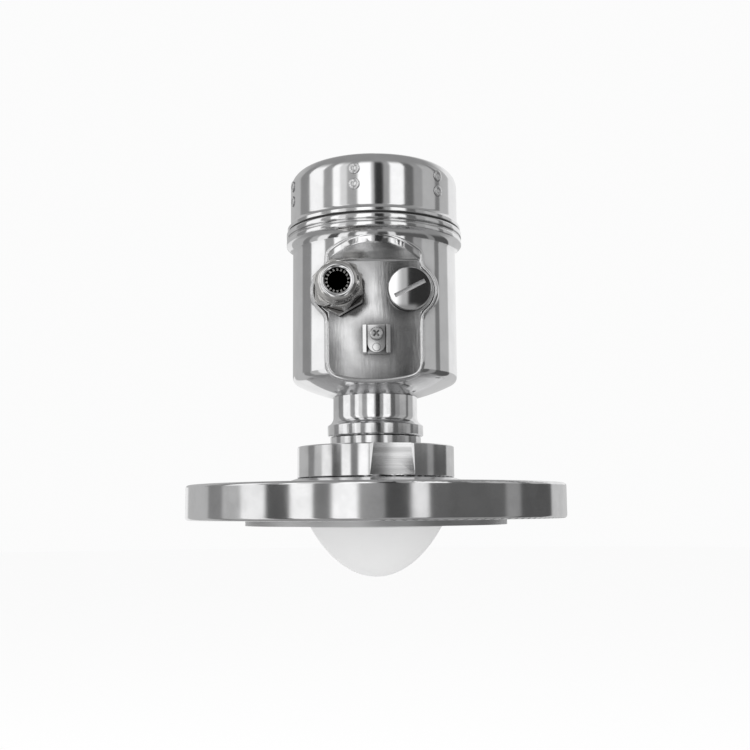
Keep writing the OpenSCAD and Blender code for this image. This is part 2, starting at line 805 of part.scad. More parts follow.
module lid_section() {
    difference() {
        union() {
            translate([0, lid_bottom]) square([lid_r, lid_top - lid_bottom]);
            difference() {
                translate([0, lid_bottom]) square([lid_foot_r, foot_band_h + foot_flare_h]);
                translate([lid_r + foot_flare_h, lid_bottom + foot_band_h + foot_flare_h])
                    circle(foot_flare_h);
            }
        }
        corner_waste(lid_foot_r, lid_bottom, 0.4, -1, 1);
        corner_waste(lid_r, lid_top, lid_round, -1, -1);
        difference() {
            translate([-cut, lid_bottom - cut])
                square([thread_r + loose + cut, lid_top - lid_wall - lid_bottom + cut]);
            corner_waste(thread_r + loose, lid_top - lid_wall, lid_round - lid_wall, -1, -1);
        }
        translate([0, lid_bottom - cut])
            square([lid_seal_r + lid_seal_d / 2 + slip, lid_groove_top - lid_bottom + cut]);
    }
}

module lid() {
    color(polished) {
        rotate_extrude() lid_section();
        for (i = [0 : nub_count - 1], h = nub_rows)
            rotate([0, 0, -90 + nub_turn + i * 360 / nub_count]) translate([lid_r - 1, 0, lid_bottom + h])
                rotate([0, 90, 0]) rotate([0, 0, 17]) rotate_extrude() difference() {
                    square([nub_d / 2, 1 + nub_h]);
                    corner_waste(nub_d / 2, 1 + nub_h, nub_h, -1, -1);
                    translate([-cut, 1 + nub_h / 2]) square([nub_d / 5 + cut, nub_h]);
                }
    }
}

module lid_seal() {
    color(black) cord_ring(lid_seal_r, lid_seal_z, lid_seal_d - 2 * seal_fit);
}

module gland_body() {
    color(nickel) on_panel(-entry_x, entry_z) difference() {
        union() {
            translate([0, 0, -boss_depth]) cylinder(r = bore_r - slip, h = boss_depth + gland_seat + 0.5);
            hexagon(gland_af, gland_seat, gland_hex_top, 0.7);
            translate([0, 0, gland_hex_top - 0.5]) cylinder(r = gland_af / 2 - 1.2, h = gland_collar_h + 0.5);
            translate([0, 0, gland_hex_top]) cylinder(r = barrel_r, h = barrel_top - gland_hex_top);
        }
        translate([0, 0, -boss_depth - cut]) cylinder(r = gland_bore_r, h = boss_depth + barrel_top + 2 * cut);
        translate([0, 0, cage_seat]) cylinder(r = cage_r + slip, h = barrel_top);
    }
}

module gland_oring() {
    color(black) on_panel(-entry_x, entry_z)
        cord_ring(bore_r + gland_seal_d / 2, gland_seal_d / 2, gland_seal_d - 2 * seal_fit);
}

module clamping_cage() {
    tip_r = mouth_r - loose;
    color(steel) on_panel(-entry_x, entry_z) difference() {
        rotate_extrude()
            polygon([[cage_r - cage_wall, cage_seat], [cage_r, cage_seat], [cage_r, claw_bend],
                [tip_r, cage_top - 1.2], [tip_r, cage_top], [cable_d / 2 + 0.2, cage_top],
                [cable_d / 2 + 0.2, cage_top - 1.2], [cage_r - cage_wall, claw_bend - 1]]);
        for (i = [0 : claw_count - 1])
            rotate([0, 0, i * 360 / claw_count]) translate([cable_d / 2 - cut, -claw_gap / 2, claw_root])
                cube([cage_r, claw_gap, nut_top]);
    }
}

module sealing_insert() {
    color(black) on_panel(-entry_x, entry_z) rotate_extrude()
        ring_section(cable_d / 2, insert_r, cage_seat, claw_bend - 1.2, 0.3);
}

module gland_cap_nut() {
    hollow_r = barrel_r + loose;
    color(nickel) on_panel(-entry_x, entry_z) difference() {
        union() {
            rotate([0, 0, nut_turn]) hexagon(nut_af, nut_bottom, nut_hex_top, 0.9);
            rotate_extrude() difference() {
                polygon([[0, nut_hex_top - 1], [nut_af / 2 - 0.2, nut_hex_top - 1],
                    [nut_af / 2 - 0.2, nut_hex_top + 1.4], [nose_d / 2 + 1, nut_top - 1.2],
                    [nose_d / 2 + 1, nut_top - 0.8], [nose_d / 2, nut_top], [0, nut_top]]);
            }
        }
        rotate_extrude()
            polygon([[0, nut_bottom - cut], [hollow_r, nut_bottom - cut], [hollow_r, barrel_top + loose],
                [mouth_r, nut_top - 1.6], [mouth_r, nut_top + cut], [0, nut_top + cut]]);
    }
}

module blind_plug() {
    color(polished) on_panel(entry_x, entry_z) difference() {
        rotate_extrude() {
            translate([0, -boss_depth]) ring_section(0, bore_r - loose, 0, boss_depth + plug_seat + 0.5, 0.6);
            translate([0, plug_seat]) ring_section(0, plug_r, 0, plug_head_h, 0.4);
        }
        rotate([0, 0, slot_turn]) translate([-slot_l / 2, -slot_w / 2, plug_seat + plug_head_h - slot_h])
            cube([slot_l, slot_w, slot_h + cut]);
    }
}

module plug_oring() {
    color(black) on_panel(entry_x, entry_z)
        cord_ring(bore_r + plug_seal_d / 2 + slip, plug_seal_d / 2, plug_seal_d - 2 * seal_fit);
}

module ground_bracket() {
    color(nickel) on_panel(ground_x, ground_z) difference() {
        union() {
            translate([-bracket_w / 2, bracket_top - ground_z - bracket_h, 0])
                cube([bracket_w, bracket_h, bracket_back]);
            for (side = [-1, 1])
                translate([side * (bracket_w - bracket_side) / 2 - bracket_side / 2,
                    bracket_top - ground_z - bracket_h, 0])
                    cube([bracket_side, bracket_h, bracket_depth]);
            cylinder(d = earth_d + 3, h = earth_boss_h);
        }
        translate([0, 0, earth_screw_in - slip]) cylinder(d = earth_d + 2 * slip, h = earth_boss_h);
    }
}

module clamp_plate() {
    foot_y = ground_z - bracket_top + bracket_h - clamp_w / 2 - 0.4;
    dimple_r = 1.9;
    color(steel) on_panel(ground_x, ground_z) translate([0, 0, clamp_seat]) difference() {
        union() {
            linear_extrude(clamp_t) {
                translate([-clamp_w / 2, -foot_y]) square([clamp_w, bracket_top - ground_z + foot_y]);
                translate([0, -foot_y]) circle(clamp_w / 2);
            }
            translate([0, -earth_head_d - 0.2, clamp_t - 0.5]) cylinder(r = dimple_r, h = 0.9);
        }
        translate([0, 0, -cut]) cylinder(d = earth_d + 2 * fit, h = clamp_t + 2 * cut);
    }
}

module spring_washer() {
    color(steel) on_panel(ground_x, ground_z) translate([0, 0, clamp_face]) difference() {
        rotate_extrude() ring_section(earth_d / 2 + fit, earth_head_d / 2, 0, washer_t);
        rotate([0, 0, 40]) translate([0, -0.4, -cut]) cube([earth_head_d, 0.8, washer_t + 2 * cut]);
    }
}

module ground_screw() {
    color(steel) on_panel(ground_x, ground_z) difference() {
        rotate_extrude() {
            translate([0, earth_screw_in]) square([earth_d / 2, head_seat - earth_screw_in + 0.5]);
            translate([0, head_seat]) ring_section(0, earth_head_d / 2, 0, earth_head_h, 0.4);
        }
        for (a = [0, 90])
            rotate([0, 0, a + 45]) translate([-earth_head_d * 0.3, -0.45, head_seat + earth_head_h * 0.5])
                cube([earth_head_d * 0.6, 0.9, earth_head_h]);
    }
}

process_flange();
antenna_body();
lens();
lens_seal();
wave_coupler();
waveguide_tube();
process_adapter();
rf_module();
rf_clamp_ring();
swivel_seals();
swivel_ring();
housing_neck();
housing_bowl();
module_posts();
lock_pad();
set_screw();
rf_pigtail();
electronics_module();
module_screws();
terminal_header();
contact_pins();
terminal_plug();
inner_earth_tab();
lid();
lid_seal();
gland_body();
gland_oring();
clamping_cage();
sealing_insert();
gland_cap_nut();
blind_plug();
plug_oring();
ground_bracket();
clamp_plate();
spring_washer();
ground_screw();
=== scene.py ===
"""Radar level transmitter: the visible pieces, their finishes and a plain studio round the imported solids."""

import json
import math

import bpy
from mathutils import Matrix, Vector

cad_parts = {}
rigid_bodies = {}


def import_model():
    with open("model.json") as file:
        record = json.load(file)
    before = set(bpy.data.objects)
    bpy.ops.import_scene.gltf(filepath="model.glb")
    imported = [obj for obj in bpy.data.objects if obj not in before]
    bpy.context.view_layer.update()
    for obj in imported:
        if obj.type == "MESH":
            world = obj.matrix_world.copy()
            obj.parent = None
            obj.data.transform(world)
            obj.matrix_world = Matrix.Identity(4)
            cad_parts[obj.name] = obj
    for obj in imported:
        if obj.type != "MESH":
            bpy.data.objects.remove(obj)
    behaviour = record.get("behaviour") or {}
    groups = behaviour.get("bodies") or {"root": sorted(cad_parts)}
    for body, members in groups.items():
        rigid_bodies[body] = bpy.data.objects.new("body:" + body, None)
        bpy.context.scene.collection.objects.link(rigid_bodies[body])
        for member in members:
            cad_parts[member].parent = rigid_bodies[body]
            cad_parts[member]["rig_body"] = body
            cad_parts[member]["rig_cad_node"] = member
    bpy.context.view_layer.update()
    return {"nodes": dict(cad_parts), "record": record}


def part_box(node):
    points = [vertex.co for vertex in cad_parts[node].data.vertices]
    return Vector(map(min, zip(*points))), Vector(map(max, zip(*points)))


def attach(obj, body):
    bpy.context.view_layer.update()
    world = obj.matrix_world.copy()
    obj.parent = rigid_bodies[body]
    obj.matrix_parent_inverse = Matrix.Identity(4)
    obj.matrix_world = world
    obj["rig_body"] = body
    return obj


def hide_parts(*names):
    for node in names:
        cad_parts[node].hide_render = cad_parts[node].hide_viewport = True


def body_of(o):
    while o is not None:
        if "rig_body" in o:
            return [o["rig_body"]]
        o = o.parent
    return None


bl_info = {
    "name": "Radar Level Transmitter",
    "version": (1, 0, 0),
    "blender": (4, 5, 0),
    "location": "View3D > Sidebar > Transmitter",
    "description": "Builds the visible pieces and finishes of a radar level transmitter",
    "category": "Object",
}

MM = 0.001
UM = 0.001 * MM
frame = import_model()

# The record's material slot of each solid, and the finish that stands for each slot.
SLOT_OF = {row["node"]: row["material_slot"] for row in frame["record"]["subparts"]}
SLOT_FINISH = {
    "polished_steel": "mirror_steel", "turned_steel": "lathe_steel", "small_steel": "fine_steel",
    "nickel_plated": "nickel_plate", "ptfe": "lens_white", "black_rubber": "seal_rubber",
    "brass": "plain_brass", "module_casing": "casing_grey", "terminal_green": "terminal_plastic"}

# Levels that the solids give: the sealing face, the top of the flange's hub, the seam under the lid and the
# axis of the two entries. The raised face's height is the flange standard's.
SEALING_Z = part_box("process_flange")[0].z
HUB_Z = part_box("process_flange")[1].z
SEAM_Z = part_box("lid")[0].z
AXIS_Z = (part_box("blind_plug")[0].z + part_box("blind_plug")[1].z) / 2
RAISED_FACE = 3 * MM


# ---------------------------------------------------------------- settings

def length(name, description, default):
    return bpy.props.FloatProperty(name=name, description=description, default=default, unit="LENGTH")


def angle(name, description, degrees):
    return bpy.props.FloatProperty(
        name=name, description=description, default=math.radians(degrees), subtype="ANGLE")


def colour(name, description, default):
    return bpy.props.FloatVectorProperty(
        name=name, description=description, default=default, subtype="COLOR", min=0, max=1)


class TransmitterFinish(bpy.types.PropertyGroup):
    """Colours and surface values of the finishes."""

    steel_colour: colour("Steel Colour", "Colour of the polished stainless steel", (0.84, 0.84, 0.845))
    nickel_colour: colour("Nickel Colour", "Colour of the nickel plated brass", (0.70, 0.69, 0.675))
    lens_colour: colour("Lens Colour", "Colour of the white lens", (0.96, 0.96, 0.96))
    rubber_colour: colour("Rubber Colour", "Colour of the seals", (0.018, 0.018, 0.018))
    polish: bpy.props.FloatProperty(
        name="Polish", description="Roughness of the polished steel", default=0.07, min=0.0, max=0.5)
    satin: bpy.props.FloatProperty(
        name="Satin", description="Roughness of the satin panel", default=0.20, min=0.0, max=0.8)


class TransmitterThreads(bpy.types.PropertyGroup):
    """Sizes of the threads that the solids leave plain."""

    lid_pitch: length("Lid Pitch", "Pitch of the lid's thread", 2 * MM)
    entry_pitch: length("Entry Pitch", "Pitch of the entry and gland threads", 1.5 * MM)
    rise: length("Ridge Height", "How far a thread ridge stands out", 0.2 * MM)
    lid_radius: length("Spigot Radius", "Radius of the rim's plain spigot", 43.2 * MM)
    plug_radius: length("Plug Radius", "Radius of the plug's plain shank", 9.7 * MM)
    barrel_radius: length("Barrel Radius", "Radius of the gland's plain barrel", 9 * MM)
    barrel_length: length("Barrel Length", "Length of the gland's barrel in front of its hexagon", 9.5 * MM)


class TransmitterRidge(bpy.types.PropertyGroup):
    """The drawn ridge that frames the panel and swings out round the bosses, and the groove in the rim."""

    body: length("Body Radius", "Radius of the housing's side", 44.25 * MM)
    panel_in: length("Panel Depth", "How far the panel lies in from the side", 7.05 * MM)
    dish: length("Dish Radius", "Radius of the housing's dished bottom", 94 * MM)
    neck: length("Neck Radius", "Radius of the hole in the dish", 22.5 * MM)
    boss: length("Boss Radius", "Radius at which the ridge passes round a boss", 13.6 * MM)
    entry: length("Entry Distance", "Distance of a boss from the middle", 18 * MM)
    crease: length("Crease", "Height of the crease over the entries' axis", 19.9 * MM)
    slope: angle("Slope", "Steepness of the slope over the panel", 48)
    groove_low: length("Groove Bottom", "Depth of the rim groove's lower edge under the seam", 4.5 * MM)
    groove_high: length("Groove Top", "Depth of the rim groove's upper edge under the seam", 2.9 * MM)
    groove_depth: length("Groove Depth", "Depth of the rim groove", 0.5 * MM)
    thick: length("Ridge Radius", "Rounding of the ridge", 1.5 * MM)
    sunk: length("Sunk", "How far the ridge's middle lies under the edge", 1.1 * MM)


class TransmitterLid(bpy.types.PropertyGroup):
    """Section of the lid."""

    side: length("Side Radius", "Radius of the lid's side", 45.5 * MM)
    wall: length("Wall", "Thickness of the lid", 2 * MM)
    rounding: length("Rounding", "Radius of the lid's top edge", 9 * MM)
    band: length("Foot Band", "Height of the plain foot", 2.4 * MM)
    flare: length("Foot Flare", "Radius of the hollow fillet over the foot", 3 * MM)
    seam: length("Seam", "Height of the gasket that shows under the foot", 0.95 * MM)
    edge: length("Foot Edge", "Rounding of the foot's lower edge", 0.4 * MM)
    groove: length("Groove Radius", "Radius of the seal's groove", 44.95 * MM)
    groove_depth: length("Groove Depth", "Height of the seal's groove", 2.65 * MM)


class TransmitterNubs(bpy.types.PropertyGroup):
    """Sizes and places of the small buttons on the lid's side."""

    radius: length("Radius", "Radius of a nub", 2.95 * MM)
    rise: length("Rise", "How far a nub stands out", 0.55 * MM)
    sunk: length("Sunk", "How far a nub reaches into the lid's wall", 0.9 * MM)
    low: length("Lower Row", "Height of the lower row over the seam", 15.7 * MM)
    high: length("Upper Row", "Height of the upper row over the seam", 23.9 * MM)
    count: bpy.props.IntProperty(name="Pairs", description="Number of pairs of nubs", default=6, min=1)
    turn: angle("Turn", "Turn of the first pair from the front", -12.5)


class TransmitterStage(bpy.types.PropertyGroup):
    """Camera, floor and light."""

    lens: bpy.props.FloatProperty(
        name="Focal Length", description="Focal length of the camera, in millimetres", default=50.4)
    distance: length("Distance", "Distance of the camera from the axis", 0.563)
    height: length("Height", "Height of the camera over the sealing face", 0.0077)
    pitch: angle("Pitch", "How far the camera looks up", 7.33)
    roll: angle("Roll", "How far the camera leans to its right", 0.45)
    floor_drop: length("Floor Drop", "Height of the sealing face over the floor", 0.22)
    room_light: bpy.props.FloatProperty(
        name="Room Light", description="Strength of the even light of the room", default=0.80)
    white: bpy.props.FloatProperty(
        name="Backdrop White", description="Brightness of the backdrop to the camera", default=0.97)
    floor_glow: bpy.props.FloatProperty(
        name="Floor Glow", description="Brightness that lifts the floor to the backdrop", default=1.065)
    key_light: bpy.props.FloatProperty(
        name="Key Light", description="Power of the large lamp overhead, in watts", default=5.0)


# ---------------------------------------------------------------- node helpers

def wire(tree, source, target):
    tree.links.new(source, target)


def feed(tree, socket, value):
    """Sets a socket to a plain value, or links it to another socket."""
    if isinstance(value, bpy.types.NodeSocket):
        tree.links.new(value, socket)
    else:
        socket.default_value = value


def principled(tree):
    return next(node for node in tree.nodes if node.type == "BSDF_PRINCIPLED")


def object_place(tree):
    return tree.nodes.new("ShaderNodeTexCoord").outputs["Object"]


def coordinates(tree, vector):
    """The X, Y and Z of a vector."""
    node = tree.nodes.new("ShaderNodeSeparateXYZ")
    wire(tree, vector, node.inputs[0])
    return node.outputs


def distance(tree, place, middle):
    node = tree.nodes.new("ShaderNodeVectorMath")
    node.operation = "DISTANCE"
    wire(tree, place, node.inputs[0])
    wire(tree, middle, node.inputs[1])
    return node.outputs["Value"]


def math_node(tree, operation, a, b=0.0, clamp=False):
    node = tree.nodes.new("ShaderNodeMath")
    node.operation = operation
    node.use_clamp = clamp
    for socket, value in zip(node.inputs, (a, b)):
        feed(tree, socket, value)
    return node.outputs[0]


def times(tree, a, b):
    return math_node(tree, "MULTIPLY", a, b)


def ramp_between(tree, value, low, high, out_low=0.0, out_high=1.0):
    """Maps value smoothly from low..high to out_low..out_high."""
    node = tree.nodes.new("ShaderNodeMapRange")
    node.interpolation_type = "SMOOTHSTEP"
    feed(tree, node.inputs["Value"], value)
    feed(tree, node.inputs["From Min"], low)
    feed(tree, node.inputs["From Max"], high)
    feed(tree, node.inputs["To Min"], out_low)
    feed(tree, node.inputs["To Max"], out_high)
    return node.outputs[0]


def mix_values(tree, factor, a, b):
    node = tree.nodes.new("ShaderNodeMix")
    node.data_type = "FLOAT"
    feed(tree, node.inputs[0], factor)
    feed(tree, node.inputs[2], a)
    feed(tree, node.inputs[3], b)
    return node.outputs[0]


def mix_colours(tree, factor, a, b, blend="MIX"):
    node = tree.nodes.new("ShaderNodeMix")
    node.data_type = "RGBA"
    node.blend_type = blend
    feed(tree, node.inputs[0], factor)
    feed(tree, node.inputs[6], a if isinstance(a, bpy.types.NodeSocket) else (*a[:3], 1))
    feed(tree, node.inputs[7], b if isinstance(b, bpy.types.NodeSocket) else (*b[:3], 1))
    return node.outputs[2]


def noise(tree, vector, scale, detail=2.0, roughness=0.5):
    node = tree.nodes.new("ShaderNodeTexNoise")
    feed(tree, node.inputs["Vector"], vector)
    feed(tree, node.inputs["Scale"], scale)
    feed(tree, node.inputs["Detail"], detail)
    feed(tree, node.inputs["Roughness"], roughness)
    return node.outputs["Fac"]


def stretch(tree, vector, scale, turn=(0, 0, 0)):
    """The vector turned and then scaled."""
    node = tree.nodes.new("ShaderNodeMapping")
    feed(tree, node.inputs["Vector"], vector)
    node.inputs["Scale"].default_value = scale
    node.inputs["Rotation"].default_value = turn
    return node.outputs[0]


def new_group(name, ins, outs):
    """A node group: each input has a default, a triple where it is a vector, and of the outputs only Normal
    is a vector."""
    tree = bpy.data.node_groups.new(name, "ShaderNodeTree")
    for label, value in ins.items():
        kind = "NodeSocketFloat" if isinstance(value, float) else "NodeSocketVector"
        tree.interface.new_socket(name=label, in_out="INPUT", socket_type=kind).default_value = value
    for label in outs:
        kind = "NodeSocketVector" if label == "Normal" else "NodeSocketFloat"
        tree.interface.new_socket(name=label, in_out="OUTPUT", socket_type=kind)
    return tree, tree.nodes.new("NodeGroupInput").outputs, tree.nodes.new("NodeGroupOutput").inputs


def turned_lines():
    """Lathe lines round the Z axis: they change with radius and height, and hardly round the piece."""
    tree, given, out = new_group("turned_lines", {"Fineness": 2600.0, "Vary": 0.5}, ["Height", "Mask"])
    change_round = 0.0004
    place = object_place(tree)
    x, y, z = coordinates(tree, place)
    radius = math_node(tree, "SQRT", math_node(tree, "ADD", times(tree, x, x), times(tree, y, y)))
    line = tree.nodes.new("ShaderNodeCombineXYZ")
    wire(tree, radius, line.inputs[0])
    wire(tree, z, line.inputs[1])
    wire(tree, times(tree, math_node(tree, "ARCTAN2", y, x), change_round), line.inputs[2])
    fine = noise(tree, line.outputs[0], given["Fineness"], 3.0, 0.6)
    broad = noise(tree, line.outputs[0], times(tree, given["Fineness"], 0.12), 1.0, 0.5)
    wire(tree, mix_values(tree, given["Vary"], fine, times(tree, fine, broad)), out["Height"])
    wire(tree, ramp_between(tree, noise(tree, place, 90.0, 3.0, 0.55), 0.35, 0.68), out["Mask"])


def milled_lines():
    """Straight level lines of a milled flat."""
    tree, given, out = new_group("milled_lines", {"Fineness": 700.0}, ["Height", "Mask"])
    level = stretch(tree, object_place(tree), (0.02, 0.02, 1.0))
    wire(tree, noise(tree, level, given["Fineness"], 3.0, 0.7), out["Height"])
    broad = noise(tree, level, times(tree, given["Fineness"], 0.5), 2.0, 0.6)
    wire(tree, ramp_between(tree, broad, 0.35, 0.65), out["Mask"])


def sanded_grain():
    """Short crossing scratches of a sanded surface, with soft clouds of tone."""
    tree, given, out = new_group("sanded_grain", {"Fineness": 900.0, "Lean": 0.6}, ["Height", "Mask"])
    place = object_place(tree)
    one = noise(tree, stretch(tree, place, (1.0, 1.0, 0.16), (0, 0.75, 0)), given["Fineness"], 2.0, 0.6)
    two = noise(tree, stretch(tree, place, (1.0, 1.0, 0.2), (0, -0.55, 0)), given["Fineness"], 2.0, 0.6)
    wire(tree, mix_values(tree, given["Lean"], two, one), out["Height"])
    wire(tree, ramp_between(tree, noise(tree, place, 60.0, 2.0, 0.5), 0.3, 0.7), out["Mask"])


def handling_marks():
    """Faint smears and specks that break up a polished surface."""
    tree, given, out = new_group("handling_marks", {"Size": 45.0, "Amount": 0.5}, ["Height", "Mask"])
    place = object_place(tree)
    wire(tree, noise(tree, place, given["Size"], 1.5, 0.4), out["Height"])
    specks = times(tree, noise(tree, place, times(tree, given["Size"], 30.0), 2.0, 0.6), 0.25)
    smear = noise(tree, stretch(tree, place, (1, 1, 0.5)), given["Size"], 4.0, 0.6)
    marks = math_node(tree, "ADD", ramp_between(tree, smear, 0.4, 0.75), specks)
    wire(tree, times(tree, given["Amount"], marks), out["Mask"])


def rounded_edges():
    """Edges and corners softened over a small radius, as drawing and polishing leave them."""
    tree, given, out = new_group("rounded_edges", {"Radius": 0.001}, ["Normal"])
    edge = tree.nodes.new("ShaderNodeBevel")
    edge.samples = 8
    wire(tree, given["Radius"], edge.inputs["Radius"])
    wire(tree, edge.outputs[0], out["Normal"])


def hollow_shade():
    """Painted shade: darker where a surface lies close to others, in the corners where shade falls."""
    tree, given, out = new_group("hollow_shade", {"Reach": 0.006, "Depth": 1.5}, ["Mask"])
    near = tree.nodes.new("ShaderNodeAmbientOcclusion")
    near.samples = 8
    wire(tree, given["Reach"], near.inputs["Distance"])
    open_share = math_node(tree, "POWER", near.outputs["AO"], given["Depth"])
    wire(tree, math_node(tree, "SUBTRACT", 1.0, open_share), out["Mask"])


def domed_face():
    """Height of a face that bulges a little from its middle, as a polished cap does."""
    tree, given, out = new_group("domed_face", {"Middle": (0.0, 0.0, 0.0), "Bulge": 1.0}, ["Height"])
    square = math_node(tree, "POWER", distance(tree, object_place(tree), given["Middle"]), 2.0)
    wire(tree, times(tree, square, times(tree, given["Bulge"], -1.0)), out["Height"])


def ringed_face():
    """Height of rounded rings one inside the other on a turned face."""
    tree, given, out = new_group("ringed_face", {"Middle": (0.0, 0.0, 0.0), "Pitch": 0.002}, ["Height"])
    away = times(tree, distance(tree, object_place(tree), given["Middle"]), 2 * math.pi)
    wire(tree, math_node(tree, "SINE", math_node(tree, "DIVIDE", away, given["Pitch"])), out["Height"])


def painted_edge_shade():
    """Painted shade: rises with the distance from the middle of a panel, so that the panel darkens towards its
    edges.
    """
    tree, given, out = new_group(
        "painted_edge_shade", {"Middle": (0.0, 0.0, 0.0), "From": 0.014, "To": 0.034}, ["Mask"])
    place = object_place(tree)
    wander = times(tree, math_node(tree, "SUBTRACT", noise(tree, place, 70.0, 3.0), 0.5), 20 * MM)
    away = math_node(tree, "ADD", distance(tree, place, given["Middle"]), wander)
    wire(tree, ramp_between(tree, away, given["From"], given["To"]), out["Mask"])


def place_group(tree, group, **values):
    node = tree.nodes.new("ShaderNodeGroup")
    node.node_tree = bpy.data.node_groups[group]
    for label, value in values.items():
        feed(tree, node.inputs[label], value)
    return node.outputs


# The tone of the shade painted into a deep hollow as a share of the metal's, and how far the roughness of a
# plastic wanders.
PAINTED_SHADE_TONE = 0.04
CLOUD_ROUGH = 0.08


def shade_of(tint, share):
    return [channel * share for channel in tint]


def bare_material(name):
    """A material with nothing but its Principled shader."""
    material = bpy.data.materials.new(name)
    material.use_nodes = True
    return material, material.node_tree, principled(material.node_tree)


def bump(tree, height, depth, below=None):
    """A Bump node of the given depth in metres, laid over another one."""
    node = tree.nodes.new("ShaderNodeBump")
    node.inputs["Strength"].default_value = 1.0
    node.inputs["Distance"].default_value = depth
    feed(tree, node.inputs["Height"], height)
    if below is not None:
        wire(tree, below, node.inputs["Normal"])
    return node.outputs[0]


def metal(name, tint, roughness, group, depth, rough_vary=0.05, tone_vary=0.06, waves=0.0, rounded=0.0,
          painted_shade=0.0, **values):
    """A metal with a surface group for its grain, faint waves as on a drawn or polished sheet, softened
    edges and shade painted where the surface lies close to others."""
    material, tree, shader = bare_material(name)
    grain = place_group(tree, group, **values)
    marks = place_group(tree, "handling_marks")
    shader.inputs["Metallic"].default_value = 1.0
    tone = mix_colours(tree, grain["Mask"], tint, shade_of(tint, 1 - tone_vary))
    # Painted shade: the tone darkens towards black where the surface lies close to others.
    if painted_shade:
        shade_share = times(tree, place_group(tree, "hollow_shade")["Mask"], painted_shade)
        tone = mix_colours(tree, shade_share, tone, shade_of(tint, PAINTED_SHADE_TONE))
    wire(tree, tone, shader.inputs["Base Color"])
    wire(tree, math_node(tree, "ADD", times(tree, marks["Mask"], rough_vary), roughness, clamp=True),
         shader.inputs["Roughness"])
    normal = place_group(tree, "rounded_edges", Radius=rounded)["Normal"] if rounded else None
    if waves:
        normal = bump(tree, marks["Height"], waves, normal)
    if depth:
        normal = bump(tree, grain["Height"], depth, normal)
    if normal is not None:
        wire(tree, normal, shader.inputs["Normal"])
    return material


def plastic(name, tint, roughness, depth=10 * UM, tone_vary=0.05):
    """A moulded or rubber surface with a fine grain and slightly clouded colour."""
    material, tree, shader = bare_material(name)
    place = object_place(tree)
    cloud = noise(tree, place, 120.0, 3.0)
    grain = noise(tree, place, 1800.0, 2.0)
    wire(tree, mix_colours(tree, cloud, tint, shade_of(tint, 1 - tone_vary)), shader.inputs["Base Color"])
    wire(tree, math_node(tree, "ADD", times(tree, cloud, CLOUD_ROUGH), roughness - CLOUD_ROUGH / 2),
         shader.inputs["Roughness"])
    wire(tree, bump(tree, grain, depth), shader.inputs["Normal"])
    return material


def finish(name):
    return bpy.data.materials[name]


# ---------------------------------------------------------------- mesh helpers

def deselect():
    if bpy.context.object and bpy.context.object.mode != "OBJECT":
        bpy.ops.object.mode_set(mode="OBJECT")
    bpy.ops.object.select_all(action="DESELECT")


def activate(piece):
    deselect()
    piece.select_set(True)
    bpy.context.view_layer.objects.active = piece


def edit_all():
    """Opens the active piece's mesh with all of it selected."""
    bpy.ops.object.mode_set(mode="EDIT")
    bpy.ops.mesh.select_all(action="SELECT")


def close_ends():
    """Fills the holes of the mesh that is open, turns its faces outwards and leaves it."""
    bpy.ops.mesh.fill_holes(sides=0)
    bpy.ops.mesh.select_all(action="SELECT")
    bpy.ops.mesh.normals_make_consistent(inside=False)
    bpy.ops.object.mode_set(mode="OBJECT")


def apply_place(piece):
    """Writes a piece's place into its mesh, so that it stands at the origin."""
    activate(piece)
    bpy.ops.object.transform_apply(location=True, rotation=True, scale=True)


def own(piece, node):
    """Lets a piece move with a solid's body."""
    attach(piece, body_of(frame["nodes"][node])[0])


def dress(piece, *materials, pick=None):
    """Gives the piece its materials; pick tells from a face's centre and normal which of them it takes."""
    piece.data.materials.clear()
    for material in materials:
        piece.data.materials.append(finish(material))
    for face in piece.data.polygons:
        face.material_index = pick(face.center, face.normal) if pick else 0


def true_normals(piece, degrees):
    """Smooth shading that follows the large faces and stays sharp at the edges."""
    activate(piece)
    bpy.ops.object.shade_smooth_by_angle(angle=math.radians(degrees))
    modifier = piece.modifiers.new("true_normals", "WEIGHTED_NORMAL")
    modifier.keep_sharp = True
    modifier.weight = 100
    bpy.ops.object.modifier_apply(modifier=modifier.name)


# Sines of the tilt up to which a face counts as level or upright and as exactly upright, and the cosine
# of the one up to which it is exactly level.
TILT, PLUMB, FLAT = 0.05, 0.002, 0.9995

# An upright face is worked flat where its corners differ by more than CUT in radius, or its middle lies in
# from them by more than a facet's does. A turned face looks away from the axis, give or take FACET_TURN.
CUT = 0.02 * MM
FACET_MIDDLE = 0.9976
FACET_TURN = math.radians(5)


def is_turned(mesh, face):
    """Whether a face goes round the Z axis, as a turned one does."""
    normal, middle = face.normal, face.center.to_2d()
    if math.hypot(normal.x, normal.y) < TILT or middle.length < MM:
        return False
    radii = [mesh.vertices[v].co.to_2d().length for v in face.vertices]
    flat_cut = max(radii) - min(radii) > CUT or middle.length < FACET_MIDDLE * max(radii)
    if abs(normal.z) < TILT and flat_cut:
        return False
    off_axis = middle.angle(normal.to_2d())
    return min(off_axis, math.pi - off_axis) <= FACET_TURN


def turned_normals(piece, worked=lambda normal: False):
    """Turns the normals of faces that go round the Z axis exactly away from it, so that mirrored edges run
    true, and keeps level faces flat; worked tells from its normal which face isn't a turned one."""
    mesh = piece.data
    normals = [Vector(corner.vector) for corner in mesh.corner_normals]
    for face in mesh.polygons:
        normal = face.normal
        if abs(normal.z) > FLAT:
            for loop in face.loop_indices:
                normals[loop] = normal.copy()
        if worked(normal) or not is_turned(mesh, face):
            continue
        out = 1 if normal.to_2d().dot(face.center.to_2d()) > 0 else -1
        for loop in face.loop_indices:
            away = mesh.vertices[mesh.loops[loop].vertex_index].co.to_2d().normalized() * out
            rise = 0.0 if abs(normal.z) < PLUMB else normals[loop].z
            level = math.sqrt(1 - rise * rise)
            normals[loop] = Vector((away.x * level, away.y * level, rise))
    mesh.normals_split_custom_set(normals)


